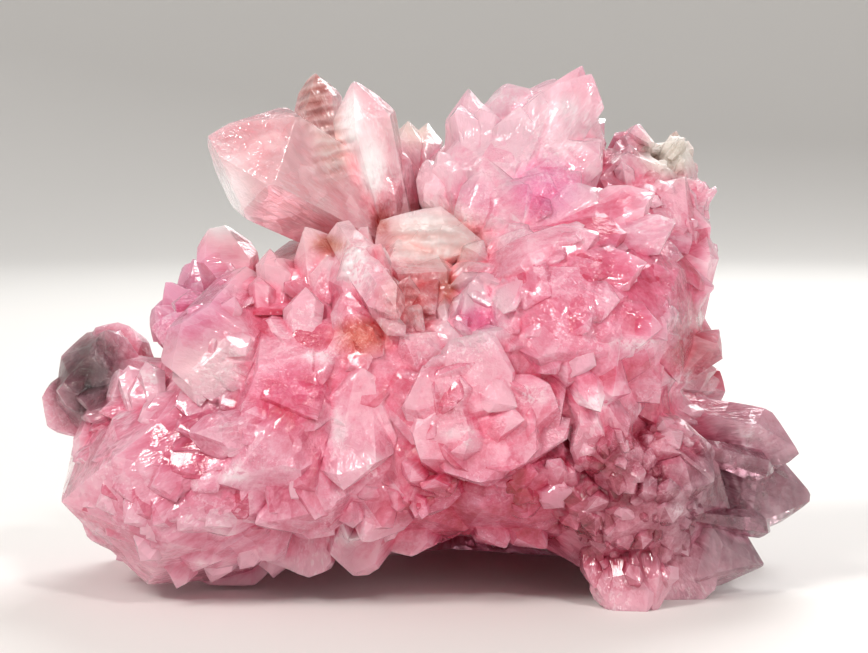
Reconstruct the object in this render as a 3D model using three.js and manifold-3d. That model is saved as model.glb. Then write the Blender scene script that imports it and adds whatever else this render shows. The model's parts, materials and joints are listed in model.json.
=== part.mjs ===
// Rose quartz cluster: pink quartz crystals grown together into one piece.
//
// Domes and fans of nearly parallel six-sided crystals radiate from a few lobes: a broad dome at the
// lower left, a rosette and a druse of small crystals in the middle, a tall dome at the right, a
// flower-like fan on top, a spray of long crystals at the upper left and another at the lower right.
// A smoky lobe grows on the far left and a scrap of pale matrix on the upper right. The back
// is a rougher growth on broken matrix, which gives the flat feet that the piece rests on.
//
// Frame: millimetres, +Z up, the front faces -Y. The origin is at the middle of the footprint.
import * as THREE from "three";
import { ConvexGeometry } from "three/addons/geometries/ConvexGeometry.js";
import { mergeVertices } from "three/addons/utils/BufferGeometryUtils.js";
import Module from "manifold-3d";

const wasm = await Module();
wasm.setup();

// ---- Driving dimensions, in millimetres and degrees ----

// Places are given on a front elevation as [across, up, out]: out is towards an eye that stands
// EYE_DISTANCE in front of the cluster and looks down by EYE_TILT.
const EYE_DISTANCE = 260;
const EYE_TILT = 5;
const AXIS_HEIGHT = 34.4; // elevation height that the eye looks at
const AXIS_Z = 31.6; // real height of that point above the resting plane

// Quartz: the six tip faces stand at this angle to the crystal's long axis.
const TIP_FACE_ANGLE = 38.2;
const TAPER = 3.5; // a crystal narrows towards its root by this angle on each side
const SIDE_SPREAD = 0.14; // natural unevenness of the side faces, as a share of the width
const TIP_SPREAD = 0.16; // natural unevenness of the tip faces, as a share of the width
const TIP_SHARE = 0.6; // how far back the tip starts, as a share of the width
const SLANT_REACH = 0.42; // how far a slanted tip lifts its back face, as a share of the width
const CHISEL_REACH = 0.4; // how far a chisel tip lifts its side faces, as a share of the width
const SIDES = 6;

const ROCK_CORNERS = 22; // corners of a rough lump before its hull is taken
const ROCK_SWELL = 1.06; // makes up for what a hull of corners leaves out of an ellipsoid
const BLOCK_SHARE = 0.72; // half the side of a broken block, as a share of its half size
const BLOCK_UNEVENNESS = 0.22; // how far a block's corners stray, as a share of its half side
const TRIM_SIZE = 200; // side of the block that takes away what reaches below the resting plane

// ---- Seeded randomness, so that every run grows the same cluster ----

const GROWTH_SEED = 33;

function randomSource(seed) {
  let state = seed >>> 0;
  return () => {
    state = (state + 0x6d2b79f5) >>> 0;
    let mixed = Math.imul(state ^ (state >>> 15), 1 | state);
    mixed = (mixed + Math.imul(mixed ^ (mixed >>> 7), 61 | mixed)) ^ mixed;
    return ((mixed ^ (mixed >>> 14)) >>> 0) / 4294967296;
  };
}

const between = (random, low, high) => low + (high - low) * random();

// A source of its own for what grows at a place, so that its shape doesn't hang on the others.
function randomAt([across, up, out]) {
  return randomSource(GROWTH_SEED + Math.round(100 * across) + 7919 * Math.round(100 * up) + Math.round(out));
}

// ---- Places ----

const tilt = THREE.MathUtils.degToRad(EYE_TILT);
const eyeUp = new THREE.Vector3(0, Math.sin(tilt), Math.cos(tilt));
const eyeForward = new THREE.Vector3(0, Math.cos(tilt), -Math.sin(tilt));

// The real point that is seen at [across, up] on the elevation and lies `out` in front of it.
function seen([across, up, out]) {
  const shrink = (EYE_DISTANCE - out) / EYE_DISTANCE;
  return new THREE.Vector3(across * shrink, 0, AXIS_Z)
    .addScaledVector(eyeUp, (up - AXIS_HEIGHT) * shrink)
    .addScaledVector(eyeForward, -out);
}

// ---- Solids ----

function toSolid(geometry) {
  geometry.deleteAttribute("normal");
  geometry.deleteAttribute("uv");
  const merged = mergeVertices(geometry, 1e-5);
  return new wasm.Manifold(
    new wasm.Mesh({
      numProp: 3,
      vertProperties: merged.attributes.position.array,
      triVerts: new Uint32Array(merged.index.array),
    }),
  );
}

// Corners of the convex body inside a set of planes: each corner is where three planes meet and
// no other plane cuts it off.
function cornersOf(planes) {
  const corners = [];
  const matrix = new THREE.Matrix3();
  for (let i = 0; i < planes.length; i++)
    for (let j = i + 1; j < planes.length; j++)
      for (let k = j + 1; k < planes.length; k++) {
        const [a, b, c] = [planes[i], planes[j], planes[k]];
        matrix.set(...a.normal, ...b.normal, ...c.normal);
        if (Math.abs(matrix.determinant()) < 1e-6) continue;
        const corner = new THREE.Vector3(-a.constant, -b.constant, -c.constant);
        corner.applyMatrix3(matrix.invert());
        if (planes.every((plane) => plane.distanceToPoint(corner) < 1e-6)) corners.push(corner);
      }
  return corners;
}

// One crystal along +Z with its root at the origin: six tapering sides, six tip faces and a flat
// root. Local -Y is its front. `slant` from 0 to 1 lets the front tip face take over the tip, and
// `chisel` from 0 to 1 draws the tip out into an edge across the width.
function crystalCorners({ length, width, thickness, slant, chisel }, random) {
  const planes = [new THREE.Plane(new THREE.Vector3(0, 0, -1), 0)];
  const taper = THREE.MathUtils.degToRad(TAPER);
  const tipTilt = THREE.MathUtils.degToRad(90 - TIP_FACE_ANGLE);
  for (let side = 0; side < SIDES; side++) {
    const turn = ((side + 0.5) * 2 * Math.PI) / SIDES;
    const around = new THREE.Vector3(Math.cos(turn), Math.sin(turn), 0);
    const broad = side % 3 === 1;
    const half = (broad ? thickness : width * Math.cos(Math.PI / SIDES)) / 2;
    const uneven = half + width * SIDE_SPREAD * (random() - 0.5);
    const sideNormal = around.clone().multiplyScalar(Math.cos(taper)).setZ(-Math.sin(taper));
    const onSide = around.clone().multiplyScalar(uneven).setZ(length - width * TIP_SHARE);
    planes.push(new THREE.Plane().setFromNormalAndCoplanarPoint(sideNormal, onSide));
    const tipNormal = around.clone().multiplyScalar(Math.sin(tipTilt)).setZ(Math.cos(tipTilt));
    const lift = SLANT_REACH * slant * (1 + around.y) + CHISEL_REACH * chisel * Math.abs(around.x);
    const onTip = new THREE.Vector3(0, 0, length + width * (lift + TIP_SPREAD * random()));
    planes.push(new THREE.Plane().setFromNormalAndCoplanarPoint(tipNormal, onTip));
  }
  return cornersOf(planes);
}

// A crystal along the line from `root` to `tip` (real points) whose highest corner is level with
// `tip`. At roll 0 its width lies across the view and its front tip face looks at the eye.
function crystal(spec, random) {
  const { root, tip, width, thickness = width * 0.8, roll = 0, slant = 0.4, chisel = 0 } = spec;
  const axis = tip.clone().sub(root);
  const sizes = { length: axis.length(), width, thickness, slant, chisel };
  const corners = crystalCorners(sizes, random);
  const peak = Math.max(...corners.map((corner) => corner.z));
  const side = new THREE.Vector3().crossVectors(eyeForward, axis).normalize();
  const along = axis.normalize();
  const back = new THREE.Vector3().crossVectors(along, side);
  const turn = new THREE.Matrix4().makeRotationZ(THREE.MathUtils.degToRad(roll));
  const place = new THREE.Matrix4().makeBasis(side, back, along).multiply(turn);
  const lower = new THREE.Vector3(0, 0, -peak);
  const placed = corners.map((corner) => corner.add(lower).applyMatrix4(place).add(tip));
  return toSolid(new ConvexGeometry(placed));
}

// A rough lump: the hull of corners scattered on an ellipsoid with the given half sizes.
function lump({ at, half, roughness = 0.12 }, random) {
  const middle = seen(at);
  const corners = [];
  for (let i = 0; i < ROCK_CORNERS; i++) {
    const height = 1 - (2 * (i + 0.5)) / ROCK_CORNERS;
    const turn = i * Math.PI * (3 - Math.sqrt(5));
    const ring = Math.sqrt(1 - height * height);
    const reach = ROCK_SWELL + roughness * between(random, -1, 1);
    corners.push(
      new THREE.Vector3(
        middle.x + half[0] * reach * ring * Math.cos(turn),
        middle.y + half[2] * reach * ring * Math.sin(turn),
        middle.z + half[1] * reach * height,
      ),
    );
  }
  return toSolid(new ConvexGeometry(corners));
}

// A broken block: the hull of an uneven box, turned any way round.
function block({ at, half }, random) {
  const middle = seen(at);
  const turn = new THREE.Euler(between(random, -0.5, 0.5), between(random, -0.5, 0.5), 3 * random());
  const reach = () => between(random, 1 - BLOCK_UNEVENNESS, 1 + BLOCK_UNEVENNESS);
  const corners = [];
  for (const x of [-1, 1])
    for (const y of [-1, 1])
      for (const z of [-1, 1])
        corners.push(new THREE.Vector3(x * reach(), y * reach(), z * reach()).applyEuler(turn));
  const [halfAcross, halfUp, halfDeep] = half.map((size) => size * BLOCK_SHARE);
  const scale = new THREE.Vector3(halfAcross, halfDeep, halfUp);
  return toSolid(new ConvexGeometry(corners.map((corner) => corner.multiply(scale).add(middle))));
}

// ---- Lobes ----
// Each lobe grows from a root, where its crystals start unless one has a root of its own.

const LOBES = [
  {
    name: "upper left spray",
    root: [-5, 43, -3],
    crystals: [
      { tip: [-26.6, 57.8, 8], root: [-6.5, 46.8, -4], width: 13.6, thickness: 11, roll: 24, slant: 0.2 },
      { tip: [-14.5, 64.9, -9], root: [-11.5, 46, -9], width: 6.4, thickness: 5, roll: 6 },
      { tip: [-9.4, 63.9, 2], root: [-4, 43, -2], width: 7.6, thickness: 6, roll: 16 },
      { tip: [-3, 59.3, -9], root: [-3, 46, -8], width: 4.4, thickness: 4, roll: 5 },
      { tip: [-0.6, 59.3, -10], root: [-1, 46, -8], width: 4.4, thickness: 4, roll: 25 },
      { tip: [-25.8, 46.3, 0], root: [-23, 32, -5], width: 7.2, thickness: 5.6, roll: 12, chisel: 0.6 },
      { tip: [-18.6, 42.4, 9], root: [-14, 32, 2], width: 6, thickness: 5, roll: 10 },
      { tip: [-15, 45.6, 11], root: [-9, 34, 4], width: 7.4, thickness: 5, slant: 0.8 },
      { tip: [-9.4, 45.4, 14], root: [-8, 34, 9], width: 8, thickness: 6, slant: 1 },
      { tip: [-2.6, 48.6, 7], root: [-1.6, 34, 9], width: 10.4, thickness: 9, roll: 6, slant: 1 },
      { tip: [-4.6, 35.4, 19], root: [-11, 45, 9], width: 5.4, thickness: 4, roll: 30 },
    ],
  },
  {
    name: "small crystals left of the spray",
    root: [-25, 28, -6],
    crystals: [
      { tip: [-33.5, 36.8, 0], width: 5, thickness: 4.4, roll: 10 },
      { tip: [-31.9, 40, -3], width: 6, thickness: 5, roll: 28 },
      { tip: [-28.8, 42.6, -5], width: 6, thickness: 5, roll: 4 },
    ],
  },
  {
    name: "flower fan on top",
    root: [5, 43, -2],
    crystals: [
      { tip: [4, 63.4, -2], width: 6.4, thickness: 4.6, roll: 8 },
      { tip: [10.6, 63.7, -3], width: 8.4, thickness: 6, roll: 4, chisel: 0.5 },
      { tip: [15, 64.4, -5], width: 8, thickness: 5.6, roll: 10 },
      { tip: [18.4, 65.6, 0], root: [10, 44, -2], width: 11.6, thickness: 8, roll: 26, slant: 0.2 },
      { tip: [21, 59.4, -5], width: 6.4, thickness: 5.4, roll: 20 },
      { tip: [20.4, 56.8, 4], root: [7, 44, 2], width: 8.4, thickness: 6, slant: 0.6 },
      { tip: [-0.8, 54.8, 3], root: [4, 44, 1], width: 6.4, thickness: 4.4, roll: 6, slant: 0.7 },
      { tip: [3, 58.4, 4], root: [5, 44, 2], width: 6.8, thickness: 4.6, roll: 4, slant: 0.7 },
      { tip: [8.4, 59.4, 5], root: [6, 44, 3], width: 7.4, thickness: 5, slant: 0.7 },
      { tip: [16.6, 53.4, 8], root: [6, 44, 3], width: 6.6, thickness: 4.8, slant: 0.7 },
      { tip: [5.6, 53.2, 9], root: [5.6, 43, 4], width: 6, thickness: 4.4, slant: 0.7 },
      { tip: [10.6, 51.8, 10.4], root: [6, 43, 4], width: 6, thickness: 4.4, slant: 0.7 },
    ],
  },
  {
    name: "right dome",
    root: [10, 36, 10],
    crystals: [
      { tip: [25, 59, -9], root: [22, 48, -8], width: 4.4, thickness: 4 },
      { tip: [31, 52.9, 0], root: [23, 38, -4], width: 8, thickness: 6, roll: 10, slant: 0.6 },
      { tip: [31.6, 52.4, -6], root: [29.6, 36, -7], width: 5.6, thickness: 5.4, roll: 6, chisel: 1 },
      { tip: [31.8, 47, -1], root: [29, 34, -2], width: 6.6, thickness: 5.4, chisel: 0.7 },
      { tip: [34.3, 39.2, 6], root: [16, 37, 2], width: 9.6, thickness: 7.4, roll: 4, slant: 0.6 },
      { tip: [34.8, 32.2, -1], root: [19, 34, -3], width: 9.4, thickness: 7.4, roll: 10 },
      { tip: [28.4, 46.8, 7], root: [11, 41, 5], width: 11, thickness: 7, roll: 6, slant: 0.7 },
      { tip: [12.6, 48.4, 9], root: [6, 40, 6], width: 8, thickness: 6, slant: 1 },
      { tip: [28.6, 41.2, 13], root: [12, 38, 8], width: 9.6, thickness: 7, slant: 0.5 },
      { tip: [19.6, 45, 16], root: [8, 38, 9], width: 10, thickness: 7, roll: 8, slant: 0.8 },
      { tip: [22.6, 37.6, 19], root: [11, 36, 12], width: 10, thickness: 7.4, roll: 10, slant: 0.6 },
      { tip: [20.6, 31, 20.6], root: [10, 36, 13], width: 9.6, thickness: 7, roll: 12, slant: 0.4 },
      { tip: [20, 24.2, 19], root: [16, 32, 13], width: 4.8, thickness: 3.6 },
      { tip: [18.8, 17.8, 16.6], root: [18.4, 32, 10], width: 5, thickness: 4.4, roll: 8, chisel: 0.8 },
    ],
  },
  {
    name: "middle rosette",
    root: [6, 23.4, 11],
    crystals: [
      { tip: [5, 39, 16], root: [6, 30, 10], width: 9, thickness: 6, slant: 0.9 },
      { tip: [-8.2, 28.6, 18], root: [-9.4, 14, 7], width: 9, thickness: 8.4, roll: 22, slant: 0.6 },
      { tip: [-3, 32.8, 17.6], root: [3, 26, 9], width: 8, thickness: 5, slant: 0.8 },
      { tip: [4.4, 31.6, 20], root: [6, 23, 12], width: 9, thickness: 4.6, slant: 1, chisel: 0.8 },
      { tip: [-2, 27, 20], width: 8.4, thickness: 4.6, chisel: 0.6 },
      { tip: [-1.6, 20.4, 20], width: 8.4, thickness: 4.6, chisel: 0.6 },
      { tip: [4, 17, 19.6], width: 9, thickness: 4.6, chisel: 0.8 },
      { tip: [11, 19, 18.6], width: 8.4, thickness: 4.6, chisel: 0.6 },
      { tip: [14, 25.6, 18], width: 8, thickness: 5, roll: 6, chisel: 0.3 },
    ],
  },
  {
    name: "left dome",
    root: [-18, 21, 8],
    crystals: [
      { tip: [-29.4, 28.4, 16], root: [-23, 36, 6], width: 10, thickness: 7, slant: 0.6, chisel: 1 },
      { tip: [-32.4, 33.4, 4], root: [-24, 24, 0], width: 8, thickness: 6.4, roll: 4, slant: 1 },
      { tip: [-18.2, 22.4, 18], root: [-17.4, 34, 8], width: 10.4, thickness: 7, slant: 0.2, chisel: 1 },
      { tip: [-30.2, 21.6, 19.4], root: [-15, 22, 12], width: 6, thickness: 5, slant: 0.2 },
      { tip: [-37.2, 29.8, 5], root: [-34, 12, 2], width: 6.4, thickness: 3.6, roll: 62 },
      { tip: [-34.4, 30.2, 9], root: [-31, 12, 6], width: 6.6, thickness: 4.4, roll: 48 },
      { tip: [-36, 15, 14.6], root: [-26, 28, 7], width: 11, thickness: 8, slant: 0.4 },
      { tip: [-25, 15.4, 20], root: [-12, 24, 11], width: 9.6, thickness: 7, slant: 0.5 },
      { tip: [-31.4, 11.2, 17], root: [-16, 20, 8], width: 10, thickness: 7, slant: 0.5 },
      { tip: [-20.8, 9.8, 17.6], root: [-8, 19, 9], width: 10, thickness: 8, slant: 0.4 },
      { tip: [-37, 6.8, 7], root: [-22, 14, 2], width: 9.6, thickness: 7.4 },
      { tip: [-42.4, 10, 0], root: [-26, 15, -2], width: 9, thickness: 6, chisel: 0.8 },
      { tip: [-27.6, 5, 11], root: [-18, 18, 5], width: 10, thickness: 8, slant: 0.3 },
      { tip: [-24.4, 3.4, 1], root: [-24, 16, -2], width: 10, thickness: 9, chisel: 1 },
      { tip: [-17.6, 5.3, 8], root: [-13, 18, 2], width: 9.6, thickness: 7, chisel: 1 },
    ],
  },
  {
    name: "middle druse",
    root: [2, 22, 2],
    crystals: [
      { tip: [-11.4, 6, 9], width: 8, thickness: 6, chisel: 0.8 },
      { tip: [-8.4, 8.8, 15], root: [-3, 20, 8], width: 8, thickness: 6, roll: 6, slant: 0.4 },
      { tip: [-4, 7, 8], width: 7, thickness: 6, roll: 8, chisel: 0.6 },
      { tip: [-2, 11.4, 17], root: [2, 21, 10], width: 8, thickness: 6, roll: 4, slant: 0.4 },
      { tip: [8.4, 7, 9], width: 5.6, thickness: 5, roll: 12 },
      { tip: [11, 11, 14.4], root: [9, 21, 8], width: 6.4, thickness: 5, roll: 6 },
      { tip: [13, 6.8, 9], width: 5, thickness: 4.4 },
      { tip: [15.4, 14, 15.4], root: [12, 23, 8], width: 6.4, thickness: 5, roll: 8 },
      { tip: [19.6, 10, 14.6], root: [15, 21, 6], width: 6.4, thickness: 5, roll: 14 },
    ],
  },
  {
    name: "lower right spray",
    root: [22, 20, 1],
    crystals: [
      { tip: [43.7, 18.8, 4], root: [25, 24, -3], width: 8, thickness: 7, roll: 8 },
      { tip: [45.3, 13.6, -2], root: [27, 16, -4], width: 9.4, thickness: 7.4, roll: 4 },
      { tip: [39.5, 5.6, 5], root: [23, 11, 0], width: 9, thickness: 7.4, roll: 10 },
      { tip: [33.4, 16.3, 12], root: [20, 21, 4], width: 9, thickness: 7 },
      { tip: [30, 21.4, 12], width: 7, thickness: 5.6, roll: 10, slant: 0.6 },
      { tip: [24, 14.6, 17], root: [18, 24, 9], width: 7, thickness: 5.6, roll: 12 },
      { tip: [26.6, 0.2, 11], root: [24, 12, 5], width: 5, thickness: 4.4 },
      { tip: [23.8, -0.7, 12], root: [22, 12, 5], width: 6, thickness: 5, roll: 12, chisel: 0.6 },
      { tip: [21, 0.4, 11], root: [20, 12, 4], width: 5, thickness: 4.4, roll: 24 },
      { tip: [32, 1.8, 6], root: [24, 12, 0], width: 8.4, thickness: 7, roll: 4, chisel: 0.8 },
    ],
  },
  {
    name: "smoky lobe",
    root: [-37, 26, -7],
    crystals: [
      { tip: [-46.9, 24.2, -4], width: 7, thickness: 6, chisel: 0.8 },
      { tip: [-39.2, 35, -8], width: 8, thickness: 6, roll: 6, chisel: 0.8 },
      { tip: [-43.6, 27, 3], width: 6.4, thickness: 5.4, roll: 18, slant: 1 },
      { tip: [-39.6, 32.4, 1], width: 7, thickness: 5.4, slant: 1 },
      { tip: [-42.6, 17.8, 6], root: [-40, 24, 0], width: 4, thickness: 3.4, slant: 0.6 },
    ],
  },
  {
    name: "back of the left dome",
    root: [-24, 20, -4],
    crystals: [
      { tip: [-38, 28, -18], width: 10, thickness: 8 },
      { tip: [-41, 16, -16], width: 11, thickness: 9, roll: 12 },
      { tip: [-30, 22, -27], width: 11, thickness: 9, roll: 20 },
      { tip: [-27, 33, -19], width: 9, thickness: 8 },
      { tip: [-19, 27, -26], width: 10, thickness: 8, roll: 26 },
      { tip: [-29, 11, -31], root: [-22, 18, -16], width: 9, thickness: 7.4 },
    ],
  },
  {
    name: "back of the middle",
    root: [-2, 28, -4],
    crystals: [
      { tip: [-18, 40, -19], width: 10, thickness: 8 },
      { tip: [-9, 33, -29], width: 11, thickness: 9, roll: 12 },
      { tip: [-6, 46, -23], width: 10, thickness: 8, roll: 20 },
      { tip: [-8, 55, -17], root: [-4, 42, -6], width: 8, thickness: 6.4 },
      { tip: [2, 54, -18], root: [2, 42, -6], width: 8, thickness: 6.4, roll: 10 },
      { tip: [5, 38, -30], width: 11, thickness: 9, roll: 4 },
    ],
  },
  {
    name: "back of the right dome",
    root: [18, 34, -4],
    crystals: [
      { tip: [12, 57, -16], root: [10, 44, -6], width: 8, thickness: 6.4, roll: 8 },
      { tip: [21, 54, -18], width: 9, thickness: 8 },
      { tip: [29, 46, -22], width: 10, thickness: 8, roll: 6 },
      { tip: [20, 38, -31], width: 11, thickness: 9, roll: 12 },
      { tip: [32, 36, -22], width: 10, thickness: 8, roll: 24 },
      { tip: [13, 46, -28], root: [11, 40, -8], width: 12, thickness: 10, roll: 10 },
      { tip: [16, 26, -32], width: 11, thickness: 9, roll: 16 },
      { tip: [34, 26, -16], width: 8, thickness: 7.4, roll: 8 },
      { tip: [38, 13, -18], root: [22, 18, -4], width: 9, thickness: 7.4, roll: 20 },
      { tip: [31, 13, -31], root: [22, 18, -14], width: 9, thickness: 7.4, roll: 10 },
    ],
  },
];

// Lumps that the lobes grow out of. `half` is half the size across, up and out.
const CORES = [
  { at: [-27.8, 16.8, -1], half: [16.6, 13, 17.4] },
  { at: [-7, 24, -1], half: [19, 17, 19] },
  { at: [17.6, 35.4, -1], half: [15, 13, 18.6] },
  { at: [9, 50.4, -6], half: [11, 10, 11] },
  { at: [-14, 37, -3], half: [9.4, 8.6, 11.6] },
  { at: [-7, 50, -4], half: [5, 8, 6] },
  { at: [22, 15.6, 0], half: [12.4, 10, 15] },
  { at: [7, 19, -1], half: [13, 10, 16.4] },
  { at: [-39.6, 27, -8], half: [6.4, 7, 9] },
  { at: [22.4, 50, -8], half: [7, 6.4, 8] },
  { at: [28.4, 53, -15], half: [3.8, 5, 8] },
  { at: [2, 28, -13], half: [27, 15, 12], roughness: 0.2 },
  { at: [-25.4, 9.4, -8], half: [6, 7.4, 6.6] },
  { at: [-24, 15, -18], half: [10, 9, 7] },
  { at: [25, 15, -18], half: [11, 9, 8] },
];

// Broken matrix behind and below the crystals, which the piece mostly rests on.
const MATRIX = [
  { at: [-26, 13, -20], half: [12, 13, 9] },
  { at: [-14, 20, -22], half: [13, 11, 8] },
  { at: [-8, 13, -25], half: [13, 9, 6] },
  { at: [6, 22, -22], half: [12, 12, 8] },
  { at: [10, 13, -26], half: [12, 9, 6] },
  { at: [22, 21, -20], half: [12, 12, 9] },
  { at: [27, 13, -20], half: [12, 12, 9] },
  { at: [-2, 31, -21], half: [12, 8, 7] },
];

// ---- Assembly ----

const solids = CORES.map((core) => lump(core, randomAt(core.at)));
solids.push(...MATRIX.map((piece) => block(piece, randomAt(piece.at))));
for (const lobe of LOBES)
  for (const { tip, root = lobe.root, ...rest } of lobe.crystals)
    solids.push(crystal({ ...rest, tip: seen(tip), root: seen(root) }, randomAt(tip)));

// Everything below the resting plane is broken off flat, as the specimen was trimmed to stand.
const below = new THREE.BoxGeometry(TRIM_SIZE, TRIM_SIZE, TRIM_SIZE);
below.translate(0, 0, -TRIM_SIZE / 2);
const joined = solids.reduce((sum, solid) => sum.add(solid)).subtract(toSolid(below));

// Only the outer surface is kept: pockets sealed between crystals are filled.
const cluster = joined.decompose().reduce((most, body) => (body.volume() > most.volume() ? body : most));

const { vertProperties, triVerts } = cluster.getMesh();
const geometry = new THREE.BufferGeometry();
geometry.setAttribute("position", new THREE.Float32BufferAttribute(vertProperties, 3));
geometry.setIndex(new THREE.Uint32BufferAttribute(triVerts, 1));

// The origin is put at the middle of the footprint.
geometry.computeBoundingBox();
const middle = geometry.boundingBox.getCenter(new THREE.Vector3());
geometry.translate(-middle.x, -middle.y, 0);

const roseQuartz = new THREE.MeshStandardMaterial({ color: 0xdf91a4, roughness: 0.25, metalness: 0 });
const mesh = new THREE.Mesh(geometry, roseQuartz);
mesh.name = "rose_quartz_cluster";

const group = new THREE.Group();
group.add(mesh);

export default group;
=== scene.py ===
import json
import math

import bmesh
import bpy
import numpy as np
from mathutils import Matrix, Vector
from mathutils.bvhtree import BVHTree

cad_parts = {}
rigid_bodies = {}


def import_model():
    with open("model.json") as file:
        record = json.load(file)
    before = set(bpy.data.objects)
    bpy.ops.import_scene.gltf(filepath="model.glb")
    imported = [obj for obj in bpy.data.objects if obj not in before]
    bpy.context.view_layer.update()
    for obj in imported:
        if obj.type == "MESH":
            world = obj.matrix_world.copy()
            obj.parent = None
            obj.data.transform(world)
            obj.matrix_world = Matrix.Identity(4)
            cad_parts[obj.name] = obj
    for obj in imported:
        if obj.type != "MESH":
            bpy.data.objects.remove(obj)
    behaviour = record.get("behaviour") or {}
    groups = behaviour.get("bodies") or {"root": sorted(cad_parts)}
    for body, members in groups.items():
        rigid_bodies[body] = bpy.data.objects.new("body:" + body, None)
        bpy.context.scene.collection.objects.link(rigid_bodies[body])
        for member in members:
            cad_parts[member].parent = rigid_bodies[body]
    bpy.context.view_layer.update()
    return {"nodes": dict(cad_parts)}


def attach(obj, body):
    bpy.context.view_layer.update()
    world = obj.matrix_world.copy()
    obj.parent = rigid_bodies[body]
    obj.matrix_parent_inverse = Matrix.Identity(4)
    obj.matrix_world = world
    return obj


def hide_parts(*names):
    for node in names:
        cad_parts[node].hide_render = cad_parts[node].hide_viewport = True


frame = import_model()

bl_info = {
    "name": "Rose quartz cluster",
    "version": (1, 0, 0),
    "blender": (4, 5, 0),
    "location": "3D View > Sidebar > Rose quartz",
    "description": "Grows the fine crystals of a rose quartz cluster on its solid, and sets its stage",
    "category": "Object",
}

NODE = "rose_quartz_cluster"
MM = 0.001
SEED = 11


# ---- The front elevation: places are [across, up, out] in millimetres, as the eye sees them ----

EYE_DISTANCE = 260.0
EYE_TILT = math.radians(5)
AXIS_HEIGHT = 34.4  # elevation height that the eye looks at
AIM = np.array([1.24, -5.26, 31.6])  # the real point at that height, in the middle of the view
EYE_UP = np.array([0, math.sin(EYE_TILT), math.cos(EYE_TILT)])
EYE_FORWARD = np.array([0, math.cos(EYE_TILT), -math.sin(EYE_TILT)])
EYE = AIM - EYE_DISTANCE * EYE_FORWARD


def seen(places):
    """Real points for places on the elevation: aim + across*X + (up - axis height)*eye up, both
    shrunk by (distance - out)/distance, and then `out` towards the eye."""
    across, up, out = np.moveaxis(np.asarray(places, float), -1, 0)[..., None]
    shrink = (EYE_DISTANCE - out) / EYE_DISTANCE
    flat = across * shrink * np.array([1, 0, 0]) + (up - AXIS_HEIGHT) * shrink * EYE_UP
    return AIM + flat - out * EYE_FORWARD


def elevation(points):
    """[across, up, out] of real points: `out` is minus their distance along the eye's line, and
    the rest is their offset from the aim, stretched by distance/(distance - out)."""
    offset = points - AIM
    out = -(offset @ EYE_FORWARD)
    stretch = EYE_DISTANCE / (EYE_DISTANCE - out)
    return np.stack([offset[:, 0] * stretch, offset @ EYE_UP * stretch + AXIS_HEIGHT, out], -1)


def unit(vectors):
    """The vectors brought to a length of one."""
    return vectors / np.maximum(np.linalg.norm(vectors, axis=-1, keepdims=True), 1e-12)


def nearness(place, zone):
    """The distance squared of each place from a zone's middle, in half sizes. A zone is its middle
    and then its half sizes, across and up or across, up and out."""
    middle, half = np.split(np.array(zone, float), 2)
    return (((place[:, : len(middle)] - middle) / half) ** 2).sum(1)


def blend_zones(place, zones, base):
    """The base at each place, drawn towards each zone's values in turn with the weight
    exp(-(distance squared)**2)."""
    value = np.tile(np.atleast_1d(base).astype(float), (len(place), 1))
    for zone, aim in zones:
        value += np.exp(-(nearness(place, zone) ** 2))[:, None] * (np.atleast_1d(aim) - value)
    return value.squeeze()


# ---- Meshes and arrays ----


def mesh_arrays(mesh):
    """A mesh's corners in millimetres and its triangles."""
    mesh.calc_loop_triangles()
    corners = np.empty(3 * len(mesh.vertices), np.float32)
    mesh.vertices.foreach_get("co", corners)
    triangles = np.empty(3 * len(mesh.loop_triangles), np.int32)
    mesh.loop_triangles.foreach_get("vertices", triangles)
    return corners.reshape(-1, 3).astype(float) / MM, triangles.reshape(-1, 3)


def put_corners(mesh, corners):
    """Moves a mesh's corners to the places given in millimetres."""
    mesh.vertices.foreach_set("co", (corners * MM).astype(np.float32).ravel())
    mesh.update()


def add_layer(mesh, name, kind, domain, values):
    """Stores one value, vector or colour for each face or corner of a mesh."""
    layer = mesh.attributes.new(name, kind, domain)
    field = {"FLOAT": "value", "FLOAT_VECTOR": "vector", "FLOAT_COLOR": "color"}[kind]
    layer.data.foreach_set(field, np.asarray(values, np.float32).ravel())


def new_object(name, data):
    """An object that holds the data, linked to the scene."""
    obj = bpy.data.objects.new(name, data)
    bpy.context.scene.collection.objects.link(obj)
    return obj


def scatter(mesh, count, rng):
    """Points spread evenly over a mesh: a triangle is drawn by its area and the place in it by
    two even random numbers folded into it. Gives the points, their normals and the whole area."""
    corners, triangles = mesh_arrays(mesh)
    a, b, c = corners[triangles].transpose(1, 0, 2)
    cross = np.cross(b - a, c - a)
    areas = np.linalg.norm(cross, axis=1) / 2
    pick = rng.choice(len(areas), count, p=areas / areas.sum())
    along, aside = rng.random((2, count, 1))
    fold = along + aside > 1
    along, aside = np.where(fold, 1 - along, along), np.where(fold, 1 - aside, aside)
    points = a[pick] + along * (b - a)[pick] + aside * (c - a)[pick]
    return points, unit(cross[pick]), areas.sum()


# ---- The blurred shape: how deep any point lies in it, and which way is out ----

GRID_STEP = 1.0  # millimetres, as all sizes here
GRID_MARGIN = 18.0
LONGEST_SETTLE = 2.5  # furthest that a point is moved onto the blurred surface
LEAST_SLOPE = 0.06  # below this the field is too flat to tell the way out


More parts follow.
